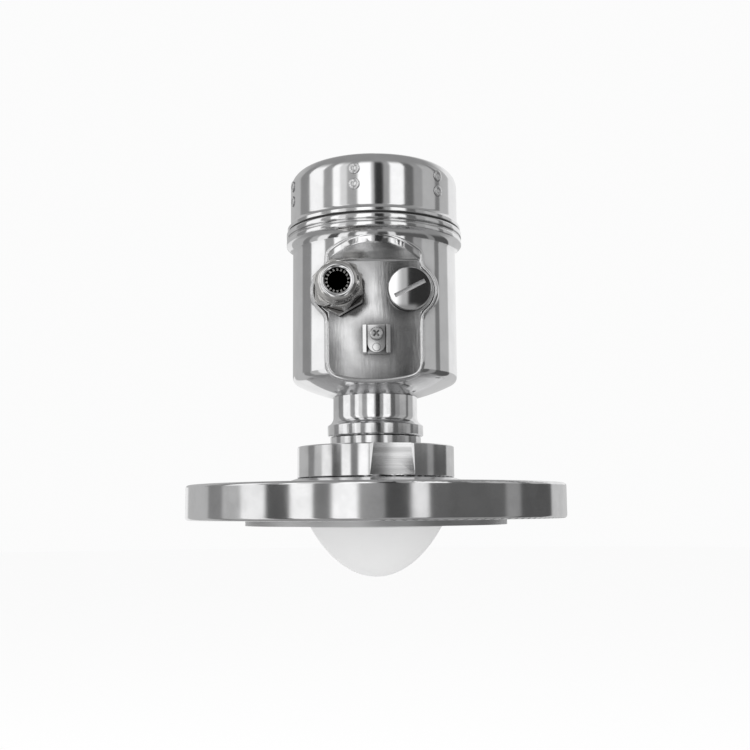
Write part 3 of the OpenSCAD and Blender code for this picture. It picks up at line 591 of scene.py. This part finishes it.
def soften(piece, width, degrees=35.0, segments=2):
    """Joins flat neighbours into whole faces and rounds the sharp edges between them."""
    activate(piece)
    edit_all()
    bpy.ops.mesh.dissolve_limited(angle_limit=math.radians(0.5))
    bpy.ops.object.mode_set(mode="OBJECT")
    modifier = piece.modifiers.new("soft_edges", "BEVEL")
    modifier.limit_method = "ANGLE"
    modifier.angle_limit = math.radians(degrees)
    modifier.width = width
    modifier.segments = segments
    bpy.ops.object.modifier_apply(modifier=modifier.name)


def smooth_copy(node, name, degrees=30.0, edge=0.0):
    """A copy of a solid's mesh, joined up and with smooth normals, which takes the solid's place."""
    activate(frame["nodes"][node])
    bpy.ops.object.duplicate()
    piece = bpy.context.object
    piece.name = piece.data.name = name
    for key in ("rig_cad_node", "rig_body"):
        if key in piece:
            del piece[key]
    piece.parent = None
    piece.matrix_world = Matrix.Identity(4)
    edit_all()
    bpy.ops.mesh.remove_doubles(threshold=2 * UM)
    bpy.ops.object.mode_set(mode="OBJECT")
    if edge:
        soften(piece, edge)
    true_normals(piece, degrees)
    dress(piece, SLOT_FINISH[SLOT_OF[node]])
    own(piece, node)
    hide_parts(node)
    return piece


def pick_faces(piece, test):
    """Selects, in edit mode, the faces whose centre and normal pass the test."""
    bpy.ops.object.mode_set(mode="EDIT")
    bpy.ops.mesh.select_mode(type="FACE")
    bpy.ops.mesh.select_all(action="DESELECT")
    bpy.ops.object.mode_set(mode="OBJECT")
    for face in piece.data.polygons:
        face.select = test(face.center, face.normal)
    bpy.ops.object.mode_set(mode="EDIT")


def settle(piece, name, turn, place):
    """Names a piece, turns and moves it, and writes that into its mesh."""
    piece.name = piece.data.name = name
    piece.matrix_world = Matrix.Translation(place) @ turn.to_4x4()
    apply_place(piece)


def arc(centre, radius, start, end, steps):
    """Points of an arc from angle start to end, in degrees, both ends included."""
    turns = [math.radians(start + (end - start) * i / steps) for i in range(steps + 1)]
    return [(centre[0] + radius * math.cos(t), centre[1] + radius * math.sin(t)) for t in turns]


def turned(name, rings, segments=192):
    """A turned piece: a circle drawn out through each (radius, height) in turn, with its ends filled."""
    deselect()
    bpy.ops.mesh.primitive_circle_add(vertices=segments, radius=rings[0][0], fill_type="NOTHING",
                                      location=(0, 0, rings[0][1]))
    piece = bpy.context.object
    piece.name = piece.data.name = name
    apply_place(piece)
    bpy.ops.object.mode_set(mode="EDIT")
    bpy.ops.mesh.select_mode(type="EDGE")
    bpy.ops.mesh.select_all(action="SELECT")
    for (radius, height), (next_radius, next_height) in zip(rings, rings[1:]):
        bpy.ops.mesh.extrude_region_move(TRANSFORM_OT_translate={"value": (0, 0, next_height - height)})
        grow = next_radius / radius
        if grow != 1:
            bpy.ops.transform.resize(value=(grow, grow, 1), center_override=(0, 0, next_height))
    bpy.ops.mesh.select_all(action="SELECT")
    bpy.ops.mesh.remove_doubles(threshold=0.1 * UM)
    close_ends()
    return piece


# A thread's ridge: how deep its foot lies in the shank, the share of the pitch that half of it takes, and
# the height and half width of the triangle that it is scaled from.
THREAD_FOOT = 0.1 * MM
THREAD_SHARE = 0.36
TRIANGLE = (1.5, 0.866)


def thread(name, node, radius, rise, pitch, start, span, turn=Matrix.Identity(3), place=(0, 0, 0)):
    """A helical ridge of triangular section round a plain shank, closed at both ends, from start on along
    the shank's own axis."""
    deselect()
    bpy.ops.mesh.primitive_circle_add(vertices=3, radius=1, fill_type="NOTHING")
    ridge = bpy.context.object
    edit_all()
    for axis in "XY":
        bpy.ops.transform.rotate(value=math.pi / 2, orient_axis=axis, center_override=(0, 0, 0))
    bpy.ops.object.mode_set(mode="OBJECT")
    sharpest = max(ridge.data.vertices, key=lambda v: abs(v.co.x)).co.x
    out = 1 if sharpest > 0 else -1
    depth = rise + THREAD_FOOT
    ridge.scale = (out * depth / TRIANGLE[0], 1, THREAD_SHARE * pitch / TRIANGLE[1])
    ridge.location = (radius - THREAD_FOOT + depth / 3, 0, start)
    apply_place(ridge)
    modifier = ridge.modifiers.new("helix", "SCREW")
    modifier.axis = "Z"
    modifier.angle = 2 * math.pi
    modifier.screw_offset = pitch
    modifier.iterations = max(1, round(span / pitch))
    modifier.steps = modifier.render_steps = 72
    bpy.ops.object.modifier_apply(modifier=modifier.name)
    edit_all()
    close_ends()
    settle(ridge, name, turn, place)
    true_normals(ridge, 40)
    dress(ridge, SLOT_FINISH[SLOT_OF[node]])
    own(ridge, node)


# ---------------------------------------------------------------- operators

# The rounding of the drawn housing's edges, and the colour of the shade painted at the panel's edges.
DRAWN_EDGE = 1.3 * MM
EDGE_SHADE_TONE = (0.12, 0.12, 0.12)


class TRANSMITTER_OT_finishes(bpy.types.Operator):
    """Make the finishes that the pieces share"""

    bl_idname = "transmitter.finishes"
    bl_label = "Finishes"

    def execute(self, context):
        for group in (turned_lines, milled_lines, sanded_grain, handling_marks, rounded_edges, hollow_shade,
                      domed_face, ringed_face, painted_edge_shade):
            group()
        look = context.scene.transmitter_finish
        self.steels(list(look.steel_colour), look.polish, look.satin)
        self.small_metals(list(look.steel_colour), list(look.nickel_colour))
        plastic("lens_white", list(look.lens_colour), 0.42, 4 * UM, 0.02)
        plastic("seal_rubber", list(look.rubber_colour), 0.55)
        plastic("casing_grey", (0.035, 0.038, 0.043), 0.5)
        plastic("terminal_plastic", (0.03, 0.16, 0.06), 0.42)
        return {"FINISHED"}

    def steels(self, steel, polish, satin):
        """The steels of the housing, the neck, the collar and the flange."""
        metal("mirror_steel", steel, polish, "turned_lines", 1.2 * UM, waves=60 * UM, rounded=DRAWN_EDGE,
              painted_shade=0.8)
        metal("lid_steel", steel, polish + 0.03, "turned_lines", 1.8 * UM, waves=100 * UM)
        metal("rim_steel", steel, 0.09, "turned_lines", 1.2 * UM, rough_vary=0.07, tone_vary=0.10,
              waves=20 * UM)
        metal("lathe_steel", shade_of(steel, 0.94), 0.20, "turned_lines", 6 * UM, Fineness=1500.0)
        metal("slot_steel", shade_of(steel, 0.95), 0.45, "sanded_grain", 10 * UM)
        metal("collar_steel", steel, 0.10, "turned_lines", 1.5 * UM, rough_vary=0.06, tone_vary=0.12)
        metal("neck_steel", steel, 0.09, "turned_lines", 3 * UM, tone_vary=0.15, waves=60 * UM)
        panel = metal("satin_steel", shade_of(steel, 0.98), satin, "sanded_grain", 60 * UM, rough_vary=0.10,
                      tone_vary=0.35, rounded=DRAWN_EDGE, painted_shade=1.0, Fineness=520.0)
        low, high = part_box("ground_bracket")
        self.crown(panel, (6 * MM, high.y, AXIS_Z - 8 * MM), bulge=4.0)
        # Painted shade: the satin panel darkens towards its edges.
        self.paint_edge_shade(panel, (0, high.y, (AXIS_Z + low.z) / 2), amount=0.45)
        low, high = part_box("antenna_body")
        self.crown(metal("milled_steel", steel, 0.16, "milled_lines", 10 * UM, tone_vary=0.3),
                   (12 * MM, low.y, (HUB_Z + high.z) / 2), bulge=3.6)

    def small_metals(self, steel, nickel):
        """The metals of the plug, the gland, the earth terminal and the inner parts."""
        low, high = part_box("blind_plug")
        self.crown(metal("plug_steel", steel, 0.06, "sanded_grain", 0.0, rough_vary=0.04),
                   ((low.x + high.x) / 2, low.y, AXIS_Z), bulge=3.5)
        metal("fine_steel", shade_of(steel, 0.95), 0.12, "sanded_grain", 2 * UM, waves=40 * UM, painted_shade=0.9)
        bright = shade_of(steel, 0.99)
        self.crown(metal("clip_steel", bright, 0.10, "sanded_grain", 2 * UM, waves=40 * UM, painted_shade=1.0),
                   (10 * MM, low.y, (low.z + high.z) / 2), bulge=5.0)
        metal("nickel_plate", nickel, 0.08, "turned_lines", 2 * UM, waves=80 * UM, painted_shade=1.0)
        metal("dark_nickel", shade_of(nickel, 0.55), 0.2, "turned_lines", 2 * UM, painted_shade=1.0)
        low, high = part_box("gland_cap_nut")
        self.rings(metal("ringed_nickel", bright, 0.08, "turned_lines", 0.0, painted_shade=0.6),
                   ((low.x + high.x) / 2, low.y, AXIS_Z), pitch=3.4 * MM, depth=0.25 * MM)
        metal("plain_brass", (0.62, 0.43, 0.18), 0.24, "turned_lines", 3 * UM)

    def crown(self, material, middle, bulge):
        """Lets a worked face bulge a little from its middle."""
        self.raise_face(material, 1.0, "domed_face", Middle=middle, Bulge=bulge)

    def rings(self, material, middle, pitch, depth):
        """Lets a turned face carry rounded rings."""
        self.raise_face(material, depth, "ringed_face", Middle=middle, Pitch=pitch)

    def raise_face(self, material, depth, group, **values):
        """Lays a group's height over the normals that the material has."""
        tree = material.node_tree
        normal = principled(tree).inputs["Normal"]
        below = normal.links[0].from_socket if normal.links else None
        wire(tree, bump(tree, place_group(tree, group, **values)["Height"], depth, below), normal)

    def paint_edge_shade(self, material, middle, amount):
        """Paints shade on a panel, darker towards its edges."""
        tree = material.node_tree
        base = principled(tree).inputs["Base Color"]
        tone = base.links[0].from_socket
        mask = times(tree, place_group(tree, "painted_edge_shade", Middle=middle)["Mask"], amount)
        wire(tree, mix_colours(tree, mask, tone, EDGE_SHADE_TONE), base)


class TRANSMITTER_OT_inner_parts(bpy.types.Operator):
    """Finish the solids that stay as they are: the sealed inner pieces"""

    bl_idname = "transmitter.inner_parts"
    bl_label = "Inner Parts"

    def execute(self, context):
        for node, solid in frame["nodes"].items():
            solid.data.materials.clear()
            solid.data.materials.append(finish(SLOT_FINISH[SLOT_OF[node]]))
        return {"FINISHED"}


class TRANSMITTER_OT_lens_and_flange(bpy.types.Operator):
    """Make the lens, the flange and the collar over it"""

    bl_idname = "transmitter.lens_and_flange"
    bl_label = "Lens and Flange"

    def execute(self, context):
        smooth_copy("lens", "lens_dome", degrees=40)
        self.flange(0.9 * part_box("process_flange")[1].x, SEALING_Z + RAISED_FACE)
        self.collar(0.98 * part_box("antenna_body")[1].x)
        return {"FINISHED"}

    def flange(self, rim, under):
        """The flange: its faces, its rim, and the edge of the raised face under it."""

        def side(centre, normal):
            if abs(normal.z) < 0.8 and math.hypot(centre.x, centre.y) > rim:
                return 1
            return 2 if centre.z < under and abs(normal.z) < 0.8 else 0

        plate = smooth_copy("process_flange", "flange_plate")
        turned_normals(plate)
        dress(plate, "lathe_steel", "rim_steel", "slot_steel", pick=side)

    def collar(self, reach):
        """The collar, with its milled flat at the front, which lies in from the reach of the round."""

        def side(centre, normal):
            faces_front = abs(normal.z) < 0.1 and normal.y < -0.9
            return int(faces_front and centre.z > HUB_Z and math.hypot(centre.x, centre.y) < reach)

        collar = smooth_copy("antenna_body", "antenna_collar", degrees=12)
        turned_normals(collar)
        dress(collar, "collar_steel", "milled_steel", pick=side)


class TRANSMITTER_OT_neck(bpy.types.Operator):
    """Make the turning neck, the ring under it and the set screw"""

    bl_idname = "transmitter.neck"
    bl_label = "Neck"

    def execute(self, context):
        for node, name, material in (("process_adapter", "adapter_ring", "collar_steel"),
                                     ("housing_neck", "turned_neck", "neck_steel")):
            piece = smooth_copy(node, name)
            turned_normals(piece)
            dress(piece, material)
        smooth_copy("set_screw", "lock_screw")
        return {"FINISHED"}


class TRANSMITTER_OT_housing(bpy.types.Operator):
    """Make the drawn housing with its satin panel"""

    bl_idname = "transmitter.housing"
    bl_label = "Housing"

    def execute(self, context):
        size = context.scene.transmitter_ridge
        panel = -size.body + size.panel_in

        def on_slope(normal):
            return normal.y < 0 and abs(normal.x) < 0.04 and abs(normal.z + math.cos(size.slope)) < 0.02

        def side(centre, normal):
            on_panel = normal.y < -0.999 and centre.y > panel - 0.1 * MM
            return int(on_panel or normal.y < -0.6 and normal.z < -0.5 and abs(normal.x) < 0.05)

        bowl = smooth_copy("housing_bowl", "drawn_housing")
        self.groove(bowl, size)
        true_normals(bowl, 30)
        turned_normals(bowl, on_slope)
        dress(bowl, "mirror_steel", "satin_steel", pick=side)
        self.ridge(self.ridge_path(size), size)
        return {"FINISHED"}

    def groove(self, bowl, size):
        """A shallow turned groove round the rim."""
        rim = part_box("housing_bowl")[1].x
        levels = (SEAM_Z - size.groove_low, SEAM_Z - size.groove_high)
        activate(bowl)
        for level in levels:
            bpy.ops.object.mode_set(mode="EDIT")
            bpy.ops.mesh.select_mode(type="FACE")
            bpy.ops.mesh.select_all(action="SELECT")
            bpy.ops.mesh.bisect(plane_co=(0, 0, level), plane_no=(0, 0, 1), threshold=0.1 * UM)
            bpy.ops.object.mode_set(mode="OBJECT")
        pick_faces(bowl, lambda centre, normal: abs(normal.z) < 0.1 and levels[0] < centre.z < levels[1]
                   and math.hypot(centre.x, centre.y) > rim - 0.2 * MM)
        bpy.ops.mesh.extrude_region_move()
        inward = 1 - size.groove_depth / rim
        bpy.ops.transform.resize(value=(inward, inward, 1), center_override=(0, 0, levels[0]))
        bpy.ops.object.mode_set(mode="OBJECT")

    def ridge_path(self, size):
        """Points up the panel's edge, out round the boss and over the slope to the middle, on both sides."""
        front = size.body - size.panel_in
        half = math.sqrt(size.body ** 2 - front ** 2)
        dish_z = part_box("housing_bowl")[0].z + math.sqrt(size.dish ** 2 - size.neck ** 2)
        crease_z = AXIS_Z + size.crease
        swing = math.acos((half - size.entry) / size.boss)
        boss_low, boss_high = (AXIS_Z + way * size.boss * math.sin(swing) for way in (-1, 1))
        below, side, above, over = 12, 16, 5, 12
        bottom = [half * i / below for i in range(below)]
        path = [(x, -front, dish_z - math.sqrt(size.dish ** 2 - front ** 2 - x ** 2)) for x in bottom]
        start = path[-1][2]
        path += [(half, -front, start + (boss_low - start) * i / side) for i in range(1, side)]
        turn = math.degrees(swing)
        path += [(x, -front, z) for x, z in arc((size.entry, AXIS_Z), size.boss, -turn, turn, 24)]
        path += [(half, -front, boss_high + (crease_z - boss_high) * i / above) for i in range(1, above)]
        for i in range(over + 1):
            x = half * math.cos(math.pi / 2 * i / over)
            y = math.sqrt(size.body ** 2 - x ** 2)
            path.append((x, -y, crease_z + (y - front) * math.tan(size.slope)))
        return path[:-1] + [(-x, y, z) for x, y, z in reversed(path[1:])]

    def ridge(self, path, size):
        """A closed rod along the path, whose corners are eased first."""
        for repeat in range(5):
            threes = zip(path[-1:] + path[:-1], path, path[1:] + path[:1])
            path = [tuple((a + 2 * b + c) / 4 for a, b, c in zip(*three)) for three in threes]
        curve = bpy.data.curves.new("panel_ridge", "CURVE")
        curve.dimensions = "3D"
        curve.bevel_depth = size.thick
        curve.bevel_resolution = 5
        line = curve.splines.new("POLY")
        line.use_cyclic_u = True
        line.points.add(len(path) - 1)
        for point, (x, y, z) in zip(line.points, path):
            point.co = (x, y + size.sunk, z, 1)
        rod = bpy.data.objects.new("panel_ridge", curve)
        bpy.context.scene.collection.objects.link(rod)
        activate(rod)
        bpy.ops.object.convert(target="MESH")
        rod = bpy.context.object
        true_normals(rod, 60)
        dress(rod, "mirror_steel")
        own(rod, "housing_bowl")


class TRANSMITTER_OT_lid(bpy.types.Operator):
    """Make the lid with its pressed nubs and the black seam under it"""

    bl_idname = "transmitter.lid"
    bl_label = "Lid"

    def execute(self, context):
        self.cap(context.scene.transmitter_lid)
        self.nubs(context.scene.transmitter_nubs)
        self.seam()
        return {"FINISHED"}

    def cap(self, size):
        """The lid itself, from the middle of its top out and down to the foot, and back up inside."""
        low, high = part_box("lid")
        foot, bottom, top = high.x, low.z + size.seam, high.z
        pole = 0.02 * MM
        inner = size.side - size.wall
        fold = math.degrees(math.acos(1 - (foot - size.side) / size.flare))
        flare_z = low.z + size.band + size.flare
        rings = [(pole, top)]
        rings += arc((size.side - size.rounding, top - size.rounding), size.rounding, 90, 0, 20)
        rings += arc((size.side + size.flare, flare_z), size.flare, 180, 180 + fold, 10)
        rings += arc((foot - size.edge, bottom + size.edge), size.edge, 0, -90, 5)
        groove_top = bottom + size.groove_depth
        rings += [(size.groove, bottom), (size.groove, groove_top), (inner, groove_top)]
        rings += arc((size.side - size.rounding, top - size.rounding), size.rounding - size.wall, 0, 90, 12)
        rings += [(pole, top - size.wall)]
        lid = turned("screw_lid", rings)
        true_normals(lid, 30)
        dress(lid, "lid_steel")
        own(lid, "lid")
        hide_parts("lid")

    def nubs(self, size):
        """One small dished button, copied round the lid."""
        side = bpy.context.scene.transmitter_lid.side - size.sunk
        deselect()
        bpy.ops.mesh.primitive_cylinder_add(vertices=48, radius=size.radius, depth=size.sunk + size.rise)
        first = bpy.context.object
        reach = side + (size.sunk + size.rise) / 2
        pick_faces(first, lambda centre, normal: normal.z > 0.9)
        for inset, lift in ((0.42 * size.radius, 0), (0.14 * size.radius, -0.8 * size.rise),
                            (0.18 * size.radius, 0.5 * size.rise)):
            bpy.ops.mesh.inset(thickness=inset)
            bpy.ops.transform.translate(value=(0, 0, lift))
        bpy.ops.object.mode_set(mode="OBJECT")
        soften(first, 0.35 * size.rise, degrees=25, segments=3)
        for pair in range(size.count):
            around = Matrix.Rotation(size.turn + 2 * math.pi * pair / size.count, 3, "Z")
            turn = around @ Matrix.Rotation(math.pi / 2, 3, "X")
            for row, level in enumerate((size.low, size.high)):
                activate(first)
                bpy.ops.object.duplicate()
                nub = bpy.context.object
                settle(nub, f"lid_nub_{2 * pair + row + 1:02d}", turn,
                       turn @ Vector((0, 0, reach)) + Vector((0, 0, SEAM_Z + level)))
                true_normals(nub, 40)
                dress(nub, "mirror_steel")
                own(nub, "lid")
        activate(first)
        bpy.ops.object.delete()

    def seam(self):
        """The black gasket whose edge shows between lid and rim; it reaches out into the gap under the foot,
        so that it also stands in for the shade in the seam.
        """
        size = bpy.context.scene.transmitter_lid
        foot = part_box("lid")[1].x
        edge, belly = foot - 0.3 * MM, foot - 0.15 * MM
        low, high = SEAM_Z - 0.03 * MM, SEAM_Z + size.seam
        gasket = turned("seam_gasket", [(size.groove, low), (edge, low), (belly, (low + high) / 2),
                                        (edge, high), (size.groove, high), (size.groove, low)])
        true_normals(gasket, 30)
        dress(gasket, "seal_rubber")
        own(gasket, "lid_seal")


class TRANSMITTER_OT_gland(bpy.types.Operator):
    """Make the cable gland"""

    bl_idname = "transmitter.gland"
    bl_label = "Cable Gland"

    def execute(self, context):
        smooth_copy("gland_body", "gland_hexagon", edge=0.12 * MM)
        nut = smooth_copy("gland_cap_nut", "gland_nut", edge=0.12 * MM)
        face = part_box("gland_cap_nut")[0].y
        dress(nut, "nickel_plate", "ringed_nickel",
              pick=lambda centre, normal: int(normal.y < -0.9 and centre.y < face + 1.5 * MM))
        dress(smooth_copy("clamping_cage", "gland_claws"), "dark_nickel")
        smooth_copy("sealing_insert", "gland_insert")
        return {"FINISHED"}


class TRANSMITTER_OT_blind_plug(bpy.types.Operator):
    """Make the slotted blind plug"""

    bl_idname = "transmitter.blind_plug"
    bl_label = "Blind Plug"

    def execute(self, context):
        plug = smooth_copy("blind_plug", "slotted_plug", edge=0.18 * MM)
        low, high = (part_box("blind_plug")[0].y + depth for depth in (0.5 * MM, 2.5 * MM))
        dress(plug, "plug_steel", "slot_steel",
              pick=lambda centre, normal: int(normal.y < -0.9 and low < centre.y < high))
        return {"FINISHED"}


class TRANSMITTER_OT_earth_terminal(bpy.types.Operator):
    """Make the outer earth terminal"""

    bl_idname = "transmitter.earth_terminal"
    bl_label = "Earth Terminal"

    def execute(self, context):
        for node, name in (("ground_bracket", "earth_bracket"), ("clamp_plate", "earth_clamp")):
            dress(smooth_copy(node, name, edge=0.25 * MM), "clip_steel")
        smooth_copy("spring_washer", "earth_washer", edge=0.08 * MM)
        smooth_copy("ground_screw", "earth_screw", edge=0.15 * MM)
        return {"FINISHED"}


class TRANSMITTER_OT_threads(bpy.types.Operator):
    """Make the threads that the solids leave plain"""

    bl_idname = "transmitter.threads"
    bl_label = "Threads"

    def execute(self, context):
        size = context.scene.transmitter_threads
        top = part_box("housing_bowl")[1].z
        thread("rim_thread", "housing_bowl", size.lid_radius, size.rise, size.lid_pitch, top - 9 * MM,
               8 * MM)
        forward = Matrix.Rotation(math.pi / 2, 3, "X")
        low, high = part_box("blind_plug")
        thread("plug_thread", "blind_plug", size.plug_radius, size.rise, size.entry_pitch, 1.4 * MM, 6 * MM,
               forward, ((low.x + high.x) / 2, high.y, AXIS_Z))
        low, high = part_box("gland_body")
        thread("gland_thread", "gland_body", size.barrel_radius, size.rise, size.entry_pitch, 1 * MM,
               7.5 * MM, forward, ((low.x + high.x) / 2, low.y + size.barrel_length, AXIS_Z))
        return {"FINISHED"}


# The studio that polished metal mirrors: white soft boxes, grey walls and black flags, as (from, to, tone)
# by direction in degrees. 0 is towards the front, negative to the left. Their borders are SOFTNESS wide.
LOW_RING = [
    (-180, -150, 0.90), (-150, -115, 0.50), (-115, -100, 0.25), (-100, -84, 0.50), (-84, -66, 1.00),
    (-66, -50, 0.10), (-50, -36, 1.10), (-36, -25, 0.20), (-25, -10, 1.15), (-10, 5, 0.30), (5, 20, 0.08),
    (20, 30, 0.90), (30, 80, 0.12), (80, 92, 0.30), (92, 125, 0.10), (125, 180, 0.60)]
HIGH_RING = [
    (-180, -120, 0.50), (-120, -98, 0.28), (-98, -72, 1.10), (-72, -57, 0.35), (-57, -46, 1.20),
    (-46, -36, 0.80), (-36, -22, 0.40), (-22, -3, 1.30), (-3, 1, 0.50), (1, 13, 0.03), (13, 22, 0.35),
    (22, 42, 1.15), (42, 56, 0.14), (56, 70, 0.35), (70, 93, 0.50), (93, 102, 0.20), (102, 125, 0.50),
    (125, 180, 0.90)]
SOFTNESS = 1.5
FULL_TURN = 360

# Rise over the horizon, in degrees, between which the low ring gives way to the high one, that one to the
# ceiling, and the low ring to the ground; and the tones of ceiling and ground.
RINGS_MEET = (3.5, 5)
CEILING_MEETS = (30, 55)
GROUND_MEETS = (-25, -45)
CEILING_TONE = (0.30, 0.30, 0.30)
GROUND_TONE = (0.32, 0.32, 0.32)

# The floor glows by a share to the camera only, so that it keeps the object's shadow and meets the backdrop.
FLOOR_RADIUS = 6
FLOOR_TONE = (0.86, 0.86, 0.86, 1)
FLOOR_GLOW_SHARE = 0.72
SENSOR_WIDTH = 36
LAMP_PLACE = (-0.25, -0.45, 0.85)
LAMP_AIM = (0, 0, 0.08)
LAMP_SIZE = 0.5


def ring_ramp(tree, direction, bands):
    """A colour ramp that goes through the bands with soft edges."""
    stops = []
    for start, end, tone in bands:
        a, b = (start + 180) / FULL_TURN, (end + 180) / FULL_TURN
        edge = min(SOFTNESS / FULL_TURN, (b - a) / 3)
        stops += [(a + edge / 2, tone), (b - edge / 2, tone)]
    node = tree.nodes.new("ShaderNodeValToRGB")
    ramp = node.color_ramp
    ramp.interpolation = "LINEAR"
    while len(ramp.elements) < len(stops):
        ramp.elements.new(1.0)
    for element, (position, tone) in zip(ramp.elements, stops):
        element.position = position
        element.color = (tone, tone, tone, 1)
    feed(tree, node.inputs[0], direction)
    return node.outputs[0]


def split_rings(tree, direction, bands):
    """Two ramps side by side, because one holds 32 stops."""
    half = len(bands) // 2
    left = ring_ramp(tree, direction, bands[:half])
    right = ring_ramp(tree, direction, bands[half:])
    middle = (bands[half][0] + 180) / FULL_TURN
    return mix_colours(tree, ramp_between(tree, direction, middle - 0.002, middle + 0.002), left, right)


def risen(tree, z, degrees):
    """From 0 to 1 as the rise over the horizon goes from the first angle to the second."""
    low, high = (math.sin(math.radians(rise)) for rise in degrees)
    return ramp_between(tree, z, low, high)


class TRANSMITTER_OT_stage(bpy.types.Operator):
    """Set up the camera, the pale floor and the studio light"""

    bl_idname = "transmitter.stage"
    bl_label = "Stage"

    def execute(self, context):
        stage = context.scene.transmitter_stage
        self.camera(context, stage)
        self.floor(stage)
        self.world(context, stage)
        self.lamp(stage)
        context.scene.view_settings.view_transform = "Standard"
        return {"FINISHED"}

    def camera(self, context, stage):
        deselect()
        bpy.ops.object.camera_add()
        camera = bpy.context.object
        camera.name = "view_camera"
        camera.data.lens = stage.lens
        camera.data.sensor_width = SENSOR_WIDTH
        turn = Matrix.Rotation(math.pi / 2 + stage.pitch, 4, "X") @ Matrix.Rotation(-stage.roll, 4, "Z")
        camera.matrix_world = Matrix.Translation((0, -stage.distance, SEALING_Z + stage.height)) @ turn
        context.scene.camera = camera

    def floor(self, stage):
        deselect()
        bpy.ops.mesh.primitive_circle_add(vertices=96, radius=FLOOR_RADIUS, fill_type="NGON",
                                          location=(0, 0, SEALING_Z - stage.floor_drop))
        floor = bpy.context.object
        floor.name = "pale_floor"
        material, tree, shader = bare_material("floor_white")
        shader.inputs["Base Color"].default_value = FLOOR_TONE
        shader.inputs["Roughness"].default_value = 0.9
        shader.inputs["Specular IOR Level"].default_value = 0.1
        glow = tree.nodes.new("ShaderNodeEmission")
        glow.inputs["Color"].default_value = (1, 1, 1, 1)
        glow.inputs["Strength"].default_value = stage.floor_glow
        mix = tree.nodes.new("ShaderNodeMixShader")
        rays = tree.nodes.new("ShaderNodeLightPath")
        share = times(tree, rays.outputs["Is Camera Ray"], FLOOR_GLOW_SHARE)
        wire(tree, share, mix.inputs[0])
        wire(tree, shader.outputs[0], mix.inputs[1])
        wire(tree, glow.outputs[0], mix.inputs[2])
        out = next(n for n in tree.nodes if n.type == "OUTPUT_MATERIAL")
        wire(tree, mix.outputs[0], out.inputs["Surface"])
        floor.data.materials.append(material)
        floor.visible_glossy = False

    def world(self, context, stage):
        world = bpy.data.worlds.new("studio")
        context.scene.world = world
        world.use_nodes = True
        tree = world.node_tree
        tree.nodes.clear()
        x, y, z = coordinates(tree, tree.nodes.new("ShaderNodeTexCoord").outputs["Generated"])
        bearing = math_node(tree, "ARCTAN2", x, times(tree, y, -1.0))
        direction = math_node(tree, "ADD", math_node(tree, "DIVIDE", bearing, 2 * math.pi), 0.5)
        rings = mix_colours(tree, risen(tree, z, RINGS_MEET), ring_ramp(tree, direction, LOW_RING),
                            split_rings(tree, direction, HIGH_RING))
        above = mix_colours(tree, risen(tree, z, CEILING_MEETS), rings, CEILING_TONE)
        below = mix_colours(tree, risen(tree, z, GROUND_MEETS), above, GROUND_TONE)
        rays = tree.nodes.new("ShaderNodeLightPath")
        plain = mix_colours(tree, rays.outputs["Is Camera Ray"], (stage.room_light,) * 3, (stage.white,) * 3)
        seen = mix_colours(tree, rays.outputs["Is Glossy Ray"], plain, below)
        back = tree.nodes.new("ShaderNodeBackground")
        wire(tree, seen, back.inputs["Color"])
        out = tree.nodes.new("ShaderNodeOutputWorld")
        wire(tree, back.outputs[0], out.inputs["Surface"])

    def lamp(self, stage):
        deselect()
        bpy.ops.object.light_add(type="AREA", location=LAMP_PLACE)
        lamp = bpy.context.object
        lamp.name = "overhead_lamp"
        lamp.data.shape = "DISK"
        lamp.data.size = LAMP_SIZE
        lamp.data.energy = stage.key_light
        aim = Vector(LAMP_AIM) - lamp.location
        lamp.rotation_euler = aim.to_track_quat("-Z", "Y").to_euler()
        lamp.visible_camera = lamp.visible_glossy = False


class TRANSMITTER_PT_panel(bpy.types.Panel):
    """Builds the transmitter piece by piece"""

    bl_idname = "TRANSMITTER_PT_panel"
    bl_label = "Radar Level Transmitter"
    bl_space_type = "VIEW_3D"
    bl_region_type = "UI"
    bl_category = "Transmitter"

    def draw(self, context):
        for settings, kind in GROUPS.items():
            for name in kind.__annotations__:
                self.layout.prop(getattr(context.scene, settings), name)
        for step in STEPS:
            self.layout.operator(step.bl_idname)


STEPS = [
    TRANSMITTER_OT_finishes, TRANSMITTER_OT_stage, TRANSMITTER_OT_inner_parts,
    TRANSMITTER_OT_lens_and_flange, TRANSMITTER_OT_neck, TRANSMITTER_OT_housing, TRANSMITTER_OT_lid,
    TRANSMITTER_OT_gland, TRANSMITTER_OT_blind_plug, TRANSMITTER_OT_earth_terminal, TRANSMITTER_OT_threads]
GROUPS = {
    "transmitter_finish": TransmitterFinish, "transmitter_threads": TransmitterThreads,
    "transmitter_ridge": TransmitterRidge, "transmitter_lid": TransmitterLid,
    "transmitter_nubs": TransmitterNubs, "transmitter_stage": TransmitterStage}


def register():
    for kind in (*GROUPS.values(), *STEPS, TRANSMITTER_PT_panel):
        bpy.utils.register_class(kind)
    for name, kind in GROUPS.items():
        setattr(bpy.types.Scene, name, bpy.props.PointerProperty(type=kind))


def unregister():
    for name in GROUPS:
        delattr(bpy.types.Scene, name)
    for kind in reversed((*GROUPS.values(), *STEPS, TRANSMITTER_PT_panel)):
        bpy.utils.unregister_class(kind)


def main():
    register()
    for step in STEPS:
        family, name = step.bl_idname.split(".")
        getattr(getattr(bpy.ops, family), name)()
    deselect()


if __name__ == "__main__":
    main()
